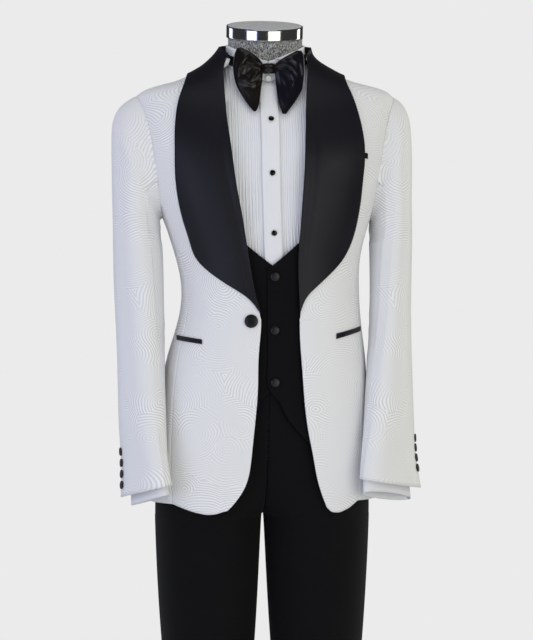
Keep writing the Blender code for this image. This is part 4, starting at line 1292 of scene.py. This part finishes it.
@dataclass
class Trousers:
    """Full-length trousers with a pressed crease.

    Attributes:
        leg_radius: radius of the legs' flat coordinates, in metres.
        folds_right, folds_left: creases of the legs.
    """

    leg_radius: float = 84 * MM
    folds_right: tuple[Fold, ...] = ()
    folds_left: tuple[Fold, ...] = ()

    def build(self) -> None:
        """Makes two legs of two pieces each and the waistband."""
        for side, folds in (("right", self.folds_right), ("left", self.folds_left)):
            halves = (f"trousers_front_{side}", f"trousers_back_{side}")
            leg = Garment(TubeChart(halves, self.leg_radius), folds, ripple=1.2,
                          ripple_grain=(9.0, 9.0, 3.5))
            leg.sew(Cut(halves[0], 0.31, 0.99, 0.245, WOOL, "black_cloth", ("form_padding",), levels=3))
            leg.sew(Cut(halves[1], 0.34, 0.99, 0.255, WOOL, "black_cloth", ("form_padding",)))
        band = Garment(BodyChart())
        band.sew(Cut("trousers_waistband", 0.86, 0.04, 0.034, WOOL, "black_cloth", ("form_padding",)))


# ---------------------------------------------------------------- the jacket


@dataclass
class Jacket:
    """Dinner jacket with a shawl collar, one button, jetted pockets and a breast welt.

    Attributes:
        garment: its body and collar.
        sleeve_radius: radius of the sleeves' flat coordinates, in metres.
        sleeve_folds_right, sleeve_folds_left: creases of the sleeves.
        armhole_foot: height above which the sleeves are sewn to the body, in millimetres.
        buttonhole: x and height of the middle of the buttonhole, in millimetres.
        buttonhole_length: its length, in millimetres.
        buttonhole_lip: how far each row of its thread lies from its middle, in millimetres.
    """

    garment: Garment
    sleeve_radius: float = 52 * MM
    sleeve_folds_right: tuple[Fold, ...] = ()
    sleeve_folds_left: tuple[Fold, ...] = ()
    armhole_foot: float = 1284.0
    buttonhole: tuple[float, float] = (62.0, 1123.0)
    buttonhole_length: float = 20.0
    buttonhole_lip: float = 0.9

    def build(self) -> None:
        """Makes the jacket's body, collar, pockets, sleeves and buttons."""
        sew = self.garment.sew
        under = ("waistcoat_back_cloth", "form_padding")
        fronts = {}
        for side in SIDES:
            front, panel = f"jacket_front_{side}_cloth", f"jacket_side_{side}_cloth"
            fronts[side] = sew(Cut(f"jacket_front_{side}", 0.30, 0.76, 0.112, JACQUARD, "jacket_cloth",
                                   under, face=Face.FRONT, levels=3))
            sew(Cut(f"jacket_side_{side}", 0.17, 0.50, 0.057, JACQUARD, "jacket_cloth", under,
                    seams=(Seam(front),)))
            sew(Cut(f"jacket_back_{side}", 0.29, 0.76, 0.150, JACQUARD, "jacket_cloth", under,
                    face=Face.BACK, levels=3, seams=(Seam(front), Seam(panel))))
            shawl = sew(Cut(f"jacket_shawl_{side}", 0.125, 0.66, 0.050, SATIN, "satin", (front,),
                            face=Face.FRONT, levels=3))
            self.tuck_under(fronts[side], Surface(shawl))
            sew(Cut(f"jacket_pocket_{side}", 0.055, 0.013, 0.00065, SATIN, "satin", (front,),
                    Held.FOLDED, Face.FRONT))
        sew(Cut("jacket_breast_welt", 0.067, 0.011, 0.0007, SATIN, "satin", ("jacket_front_left_cloth",),
                Held.FOLDED, Face.FRONT))
        self.sleeves()
        turn("jacket_button_cover", JACKET_BUTTON, seat_of("jacket_button", self.garment, Face.FRONT),
             COVERED, "black_button", "jacket_button")
        self.work_buttonhole(Surface(fronts["left"]))

    def sleeves(self) -> None:
        """Makes both sleeves, each of a top and an under piece, and their cuff buttons."""
        for side, folds in (("right", self.sleeve_folds_right), ("left", self.sleeve_folds_left)):
            halves = (f"jacket_sleeve_top_{side}", f"jacket_sleeve_under_{side}")
            sleeve = Garment(TubeChart(halves, self.sleeve_radius), folds, ripple=0.8)
            hung_on = (f"jacket_front_{side}_cloth", f"shirt_sleeve_{side}_cloth")
            armhole = tuple(Seam(f"jacket_{part}_{side}_cloth", reach=4.0, above=self.armhole_foot)
                            for part in ("front", "side", "back"))
            sleeve.sew(Cut(halves[0], 0.25, 0.66, 0.125, JACQUARD, "jacket_cloth", hung_on, levels=3,
                           seams=armhole))
            sleeve.sew(Cut(halves[1], 0.17, 0.55, 0.071, JACQUARD, "jacket_cloth", hung_on, levels=3,
                           seams=armhole + (Seam(halves[0] + "_cloth"),)))
            for number in (1, 2, 3, 4):
                node = f"cuff_button_{side}_{number}"
                turn(f"cuff_button_cover_{side}_{number}", CUFF_BUTTON, seat_of(node, sleeve), COVERED,
                     "black_button", node)

    def tuck_under(self, front: bpy.types.Object, shawl: Surface, reach: float = 6.0, near: float = 0.2,
                   lap: float = 1.2, depth: float = 0.3) -> None:
        """Hides a front's edge behind the shawl. Lengths in millimetres.

        Args:
            front: the front's piece.
            shawl: the shawl's faces.
            reach: how far from the shawl an edge may stand out.
            near: points that lie less than this far behind the shawl's edge are hidden too.
            lap: how far the front's edge then lies behind the shawl's, seen from the front.
            depth: how far it lies below the shawl.
        """
        points = positions(front.data)
        for number, point in enumerate(points):
            edge, _ = shawl.nearest(Vector(point), reach * MM)
            if edge is not None and abs(point[0]) < abs(edge.x) + near * MM:
                points[number, 0] = edge.x + math.copysign(lap * MM, edge.x)
                points[number, 1] = max(point[1], edge.y + depth * MM)
        move_points(front.data, points)

    def work_buttonhole(self, front: Surface) -> None:
        """Works the thread of the buttonhole near the left front edge.

        Args:
            front: the left front's faces.
        """
        x, height = self.buttonhole
        half = self.buttonhole_length / 2
        for name, rise in (("upper", self.buttonhole_lip), ("lower", -self.buttonhole_lip)):
            stops = [front.from_front(x + share * half, height + rise) for share in np.linspace(-1, 1, 12)]
            stitch_row(f"buttonhole_thread_{name}", stops, WHITE_THREAD, "jacket_cloth", pitch=1.6,
                       thread=0.5)


# ---------------------------------------------------------------- the bow tie


@dataclass(frozen=True)
class Slide:
    """The flat wire loop that takes up the strap of the bow. Lengths in millimetres.

    Attributes:
        place: x and height of its middle.
        half_width, half_height: half its size.
        wire: width of the wire, seen from the front.
        thickness: thickness of the wire.
        lift: how far it stands off the strap.
        rounding: how far the wire's edges are rounded.
    """

    place: tuple[float, float] = (-62.5, 1543.0)
    half_width: float = 2.4
    half_height: float = 8.0
    wire: float = 1.1
    thickness: float = 0.9
    lift: float = 0.6
    rounding: float = 0.25

    def bend(self, band: Surface) -> None:
        """Bends the loop round the strap.

        Args:
            band: the strap's faces.
        """
        spot = band.from_front(*self.place)
        if spot is None:
            return
        point, normal = spot
        seat = Seat(point + normal * self.lift * MM, normal).matrix()
        size = Matrix.Diagonal((self.half_width * MM, self.half_height * MM, 1, 1))
        bm = bmesh.new()
        bmesh.ops.create_grid(bm, x_segments=1, y_segments=1, size=1.0, matrix=seat @ size)
        bmesh.ops.inset_individual(bm, faces=bm.faces[:], thickness=self.wire * MM, depth=0.0)
        inner = [face for face in bm.faces if all(len(edge.link_faces) == 2 for edge in face.edges)]
        bmesh.ops.delete(bm, geom=inner, context="FACES")
        bmesh.ops.solidify(bm, geom=bm.faces[:], thickness=self.thickness * MM)
        bmesh.ops.recalc_face_normals(bm, faces=bm.faces[:])
        bmesh.ops.bevel(bm, geom=bm.edges[:], offset=self.rounding * MM, offset_type="OFFSET", segments=2,
                        profile=0.5, affect="EDGES", material=-1)
        finish_piece(mesh_from(bm, "strap_slide"), STEEL, "chrome")


@dataclass
class BowTie:
    """Ready-tied bow: two soft halves, a knot and a strap round the collar with a metal slide.

    Attributes:
        garment: the halves.
        knot: the knot.
        knot_stretch: how much wider the knot is drawn than its solid.
        slide: the slide of its strap.
    """

    garment: Garment
    knot: Garment
    knot_stretch: float = 1.3
    slide: Slide = Slide()

    def build(self) -> None:
        """Makes the halves, the knot, the strap and its slide."""
        # The two halves are one satin in two copies, brown and violet: painted tints of light.
        for side, satin in (("right", BOW_SATIN), ("left", BOW_SATIN_VIOLET_PAINTED)):
            self.garment.sew(Cut(f"bow_{side}", 0.055, 0.11, 0.0045, satin, "satin", ("bow_knot_cloth",),
                                 Held.FOLDED, Face.FRONT, levels=4))
        knot = self.knot.sew(Cut("bow_knot", 0.028, 0.04, 0.0010, BOW_SATIN, "satin",
                                 ("shirt_collar_cloth",), Held.FOLDED, Face.FRONT, levels=4))
        points = positions(knot.data)
        middle = points[:, 0].mean()
        points[:, 0] = middle + (points[:, 0] - middle) * self.knot_stretch
        move_points(knot.data, points)
        strap = Garment(BodyChart(60 * MM, 60 * MM, 14 * MM))
        band = strap.sew(Cut("bow_strap", 0.36, 0.018, 0.0064, BOW_SATIN, "satin", ("shirt_collar_cloth",)))
        self.slide.bend(Surface(band))


# ---------------------------------------------------------------- studio


@dataclass(frozen=True)
class Softbox:
    """A rectangular lamp round the suit. Angles in degrees, sizes in metres."""

    name: str
    azimuth: float
    height: float
    width: float
    tall: float
    power: float
    colour: str
    distance: float = 2.6
    aim: float = 1.05

    def place(self) -> None:
        """Puts the lamp in the scene."""
        lamp = bpy.data.lights.new(self.name, "AREA")
        lamp.shape = "RECTANGLE"
        lamp.size, lamp.size_y = self.width, self.tall
        lamp.energy = self.power
        lamp.color = linear_colour(self.colour)[:3]
        thing = bpy.data.objects.new(self.name, lamp)
        bpy.context.scene.collection.objects.link(thing)
        angle = math.radians(self.azimuth)
        thing.location = (self.distance * math.sin(angle), -self.distance * math.cos(angle), self.height)
        aim = Vector((0.0, 0.0, self.aim)) - thing.location
        thing.rotation_euler = aim.to_track_quat("-Z", "Y").to_euler()


@dataclass
class Studio:
    """The camera, the lamps, the pale background and the floor. Angles in degrees, sizes in metres.

    Attributes:
        azimuth, elevation, distance: where the camera stands, seen from its target.
        target: what the camera looks at.
        view_height: height of the view at the target.
        sensor: size of the camera's sensor, in millimetres.
        backdrop: colour that the camera sees behind the suit.
        ambient_left, ambient_right: colours of the soft light from each side.
        ambient_spread: how wide the soft light takes to change from one to the other.
        gloss_ambient: what glossy surfaces reflect of the room.
        floor_radius: radius of the floor.
        lamps: the lamps.
    """

    azimuth: float = -5.0
    elevation: float = 2.0
    distance: float = 4.0
    target: tuple[float, float, float] = (0.0041, 0.0, 1.119)
    view_height: float = 1.056
    sensor: float = 36.0
    backdrop: str = "#EBEBEB"
    ambient_left: str = "#C2C4D0"
    ambient_right: str = "#CCCCC2"
    ambient_spread: float = 1.6
    gloss_ambient: str = "#2E2E30"
    floor_radius: float = 2.4
    lamps: tuple[Softbox, ...] = (
        Softbox("key_left", -45.0, 1.05, 1.45, 1.9, 14.0, "#DAE2FF"),
        Softbox("key_right", 25.5, 1.05, 1.75, 1.9, 15.0, "#FFFFF4"),
        Softbox("rim_left", -128.0, 1.4, 0.9, 2.2, 8.0, "#E8EEFF"),
        Softbox("rim_right", 120.6, 1.4, 0.66, 2.2, 9.0, "#FFFFF4"),
        Softbox("top", 0.0, 3.6, 1.8, 1.2, 5.0, "#FFFFFF", distance=0.8, aim=1.3),
    )

    def build(self) -> None:
        """Sets the whole studio up."""
        scene = bpy.context.scene
        scene.view_settings.view_transform = "Standard"
        for lamp in self.lamps:
            lamp.place()
        self.set_world(scene)
        self.set_camera(scene)
        self.lay_floor()

    def set_world(self, scene: bpy.types.Scene) -> None:
        """Makes the background, which lights cloth softly, cool to warm, and leaves gloss to the lamps.

        Args:
            scene: the scene.
        """
        world = bpy.data.worlds.new("pale_room")
        world.use_nodes = True
        scene.world = world
        tree = world.node_tree
        tree.nodes.clear()
        rays = add_node(tree, "LightPath")
        seen, gloss = (add_node(tree, "Background", {"Color": linear_colour(code)})
                       for code in (self.backdrop, self.gloss_ambient))
        way = add_node(tree, "TexCoord")
        parts = add_node(tree, "SeparateXYZ", links={0: way.outputs["Generated"]})
        across = add_node(tree, "MapRange",
                          {"From Min": -self.ambient_spread / 2, "From Max": self.ambient_spread / 2},
                          {"Value": parts})
        left, right = linear_colour(self.ambient_left), linear_colour(self.ambient_right)
        tint = add_node(tree, "Mix", {"data_type": "RGBA", 6: left, 7: right}, {0: across})
        soft = add_node(tree, "Background", links={"Color": tint.outputs[2]})
        lit = add_node(tree, "MixShader", links={0: rays.outputs["Is Glossy Ray"], 1: soft, 2: gloss})
        shown = add_node(tree, "MixShader", links={0: rays.outputs["Is Camera Ray"], 1: lit, 2: seen})
        add_node(tree, "OutputWorld", links={"Surface": shown})

    def set_camera(self, scene: bpy.types.Scene) -> None:
        """Puts the camera a little to the wearer's right, almost level.

        Args:
            scene: the scene.
        """
        camera = bpy.data.cameras.new("camera")
        camera.sensor_width = self.sensor
        camera.lens = self.sensor * self.distance / self.view_height
        camera.clip_end = 60.0
        thing = bpy.data.objects.new("camera", camera)
        scene.collection.objects.link(thing)
        azimuth, elevation = math.radians(self.azimuth), math.radians(self.elevation)
        back = Vector((math.sin(azimuth) * math.cos(elevation), -math.cos(azimuth) * math.cos(elevation),
                       math.sin(elevation)))
        thing.location = Vector(self.target) + back * self.distance
        thing.rotation_euler = (-back).to_track_quat("-Z", "Y").to_euler()
        scene.camera = thing

    def lay_floor(self) -> None:
        """Lays a round pale floor under the stand."""
        bm = bmesh.new()
        bmesh.ops.create_circle(bm, cap_ends=True, segments=96, radius=self.floor_radius,
                                matrix=Matrix.Translation((0.0, 0.0, -0.5 * MM)))
        floor = mesh_from(bm, "floor")
        floor.data.materials.append(PAPER.material())


# ---------------------------------------------------------------- folds


# Jacket: the pressed line inside the roll of each lapel, hollows under the arms, drag lines at the button,
# flare of the skirt and the blades at the back.
JACKET_FOLDS = (
    Fold(((-15, 1136), (-25, 1174), (-32, 1213), (-45, 1292), (-62, 1400), (-68, 1450), (-70, 1520)),
         5, -1.5),
    Fold(((-20, 1140), (-31, 1174), (-38, 1213), (-51, 1292), (-68, 1400), (-74, 1450), (-76, 1500)),
         1.5, -0.6),
    Fold(((48, 1136), (45, 1213), (48, 1273), (54, 1363), (60, 1468), (66, 1533)), 5, -1.3),
    Fold(((-172, 1300), (-158, 1225), (-146, 1150)), 15, 2.2),
    Fold(((-188, 1270), (-176, 1190), (-170, 1130)), 12, -1.2),
    Fold(((174, 1312), (160, 1240), (150, 1172)), 14, 1.9),
    Fold(((-44, 1124), (-78, 1136), (-112, 1152)), 7, 0.9),
    Fold(((-44, 1114), (-84, 1108), (-128, 1112)), 9, 0.7),
    Fold(((-110, 1062), (-120, 950), (-122, 830)), 26, 1.8),
    Fold(((-70, 1040), (-66, 930), (-72, 840)), 18, -0.8),
    Fold(((104, 1058), (112, 940), (112, 836)), 24, 2.0),
    Fold(((150, 1080), (166, 960), (170, 850)), 16, 1.4),
    Fold(((-346, 1420), (-338, 1320), (-352, 1215)), 18, 2.4),
    Fold(((350, 1412), (344, 1300), (360, 1200)), 20, 2.1),
    Fold(((-440, 1168), (-396, 1156), (-350, 1164)), 8, 1.5),
    Fold(((444, 1150), (404, 1134), (362, 1146)), 9, 1.3),
    Fold(((-448, 1120), (-410, 1128), (-380, 1118)), 8, 1.0),
    Fold(((-400, 1080), (-392, 960), (-398, 835)), 22, 2.2),
    Fold(((410, 1070), (404, 950), (396, 838)), 25, 1.9),
    Fold(((-300, 1060), (-308, 950), (-304, 842)), 18, 1.6),
    Fold(((318, 1075), (310, 960), (316, 848)), 17, 1.8),
)
# Sleeves: short drag lines inside the elbow and long soft ones below the sleeve head.
SLEEVE_FOLDS_RIGHT = (
    Fold(((30, 1128), (62, 1116), (96, 1124)), 7, 1.3),
    Fold(((24, 1098), (58, 1090), (88, 1100)), 6, 1.0),
    Fold(((-20, 1330), (-24, 1220), (-14, 1110)), 13, 1.2),
    Fold(((-112, 1300), (-104, 1190), (-116, 1090)), 14, 1.3),
    Fold(((40, 1060), (70, 1052), (104, 1062)), 7, 0.9),
)
SLEEVE_FOLDS_LEFT = (
    Fold(((-32, 1142), (-66, 1128), (-98, 1138)), 8, 1.2),
    Fold(((-26, 1106), (-56, 1098), (-90, 1104)), 6, 1.1),
    Fold(((18, 1322), (26, 1210), (16, 1118)), 12, 1.3),
    Fold(((110, 1290), (116, 1180), (106, 1070)), 15, 1.2),
    Fold(((-44, 1066), (-72, 1056), (-100, 1068)), 6, 0.8),
)
# Trousers: soft lines from the crotch, at the knee and the break above the hem.
LEG_FOLDS_RIGHT = (
    Fold(((60, 850), (30, 800), (4, 740)), 10, 1.5),
    Fold(((-70, 520), (-30, 508), (24, 516)), 10, 1.4),
    Fold(((-40, 460), (10, 452), (52, 462)), 9, 1.1),
    Fold(((-60, 132), (-10, 112), (48, 126)), 9, 2.2),
    Fold(((-44, 88), (6, 76), (66, 92)), 8, 1.8),
    Fold(((180, 700), (190, 560), (176, 420)), 16, 1.6),
)
LEG_FOLDS_LEFT = (
    Fold(((-62, 842), (-36, 790), (-10, 742)), 9, 1.3),
    Fold(((-20, 530), (26, 514), (72, 526)), 10, 1.3),
    Fold(((-54, 470), (-8, 458), (36, 466)), 10, 1.2),
    Fold(((-46, 124), (8, 106), (62, 120)), 8, 2.0),
    Fold(((-58, 80), (-14, 70), (40, 82)), 9, 1.9),
    Fold(((-184, 690), (-178, 570), (-190, 440)), 15, 1.5),
)
# Bow: folds that run out from the knot and round the fullness of each half.
BOW_FOLDS = (
    Fold(((-44, 1529), (-34, 1535), (-21, 1531), (-8, 1526)), 2.3, 2.9),
    Fold(((-47, 1512), (-46, 1531), (-39, 1544), (-29, 1554)), 3.0, 1.9),
    Fold(((-49, 1513), (-38, 1504), (-27, 1500), (-14, 1505)), 2.6, 2.2),
    Fold(((-11, 1527), (-20, 1518), (-29, 1506)), 2.6, 2.5),
    Fold(((-31, 1530), (-36, 1519), (-34, 1507)), 4.2, -3.0),
    Fold(((-27, 1543), (-17, 1535), (-9, 1533)), 1.8, -1.9),
    Fold(((-36, 1498), (-29, 1484), (-22, 1468)), 3.4, 1.5),
    Fold(((-12, 1514), (-16, 1500), (-20, 1484)), 2.2, -1.4),
    Fold(((11, 1534), (27, 1537), (39, 1530), (47, 1521)), 2.4, 2.8),
    Fold(((12, 1528), (28, 1530), (42, 1521)), 1.9, -2.2),
    Fold(((27, 1527), (39, 1519), (43, 1509), (39, 1499)), 2.6, 2.8),
    Fold(((51, 1538), (55, 1518), (49, 1501)), 2.8, -2.2),
    Fold(((24, 1518), (31, 1500), (28, 1480)), 3.6, 1.8),
    Fold(((15, 1519), (19, 1492), (24, 1467)), 2.4, -1.4),
    Fold(((30, 1546), (40, 1543), (50, 1538)), 2.4, 1.4),
)
# Knot: strands that run across it.
KNOT_FOLDS = (
    Fold(((-16, 1527.5), (2, 1526), (20, 1527.5)), 1.3, 1.1),
    Fold(((-16, 1531.5), (2, 1530.5), (20, 1531.5)), 1.0, -0.8),
    Fold(((-16, 1523), (2, 1522.5), (20, 1523)), 1.0, -0.6),
)


def main() -> None:
    """Builds the form, the clothes from the skin outwards, and the studio."""
    logging.basicConfig(level=logging.INFO, format="%(name)s: %(message)s")
    DressForm().build()
    Shirt(Garment(BodyChart())).build()
    Waistcoat(Garment(BodyChart())).build()
    Trousers(folds_right=LEG_FOLDS_RIGHT, folds_left=LEG_FOLDS_LEFT).build()
    Jacket(Garment(BodyChart(), JACKET_FOLDS, ripple=0.9), sleeve_folds_right=SLEEVE_FOLDS_RIGHT,
           sleeve_folds_left=SLEEVE_FOLDS_LEFT).build()
    BowTie(Garment(FlatChart(), BOW_FOLDS), Garment(FlatChart(), KNOT_FOLDS)).build()
    Studio().build()


if __name__ == "__main__":
    main()
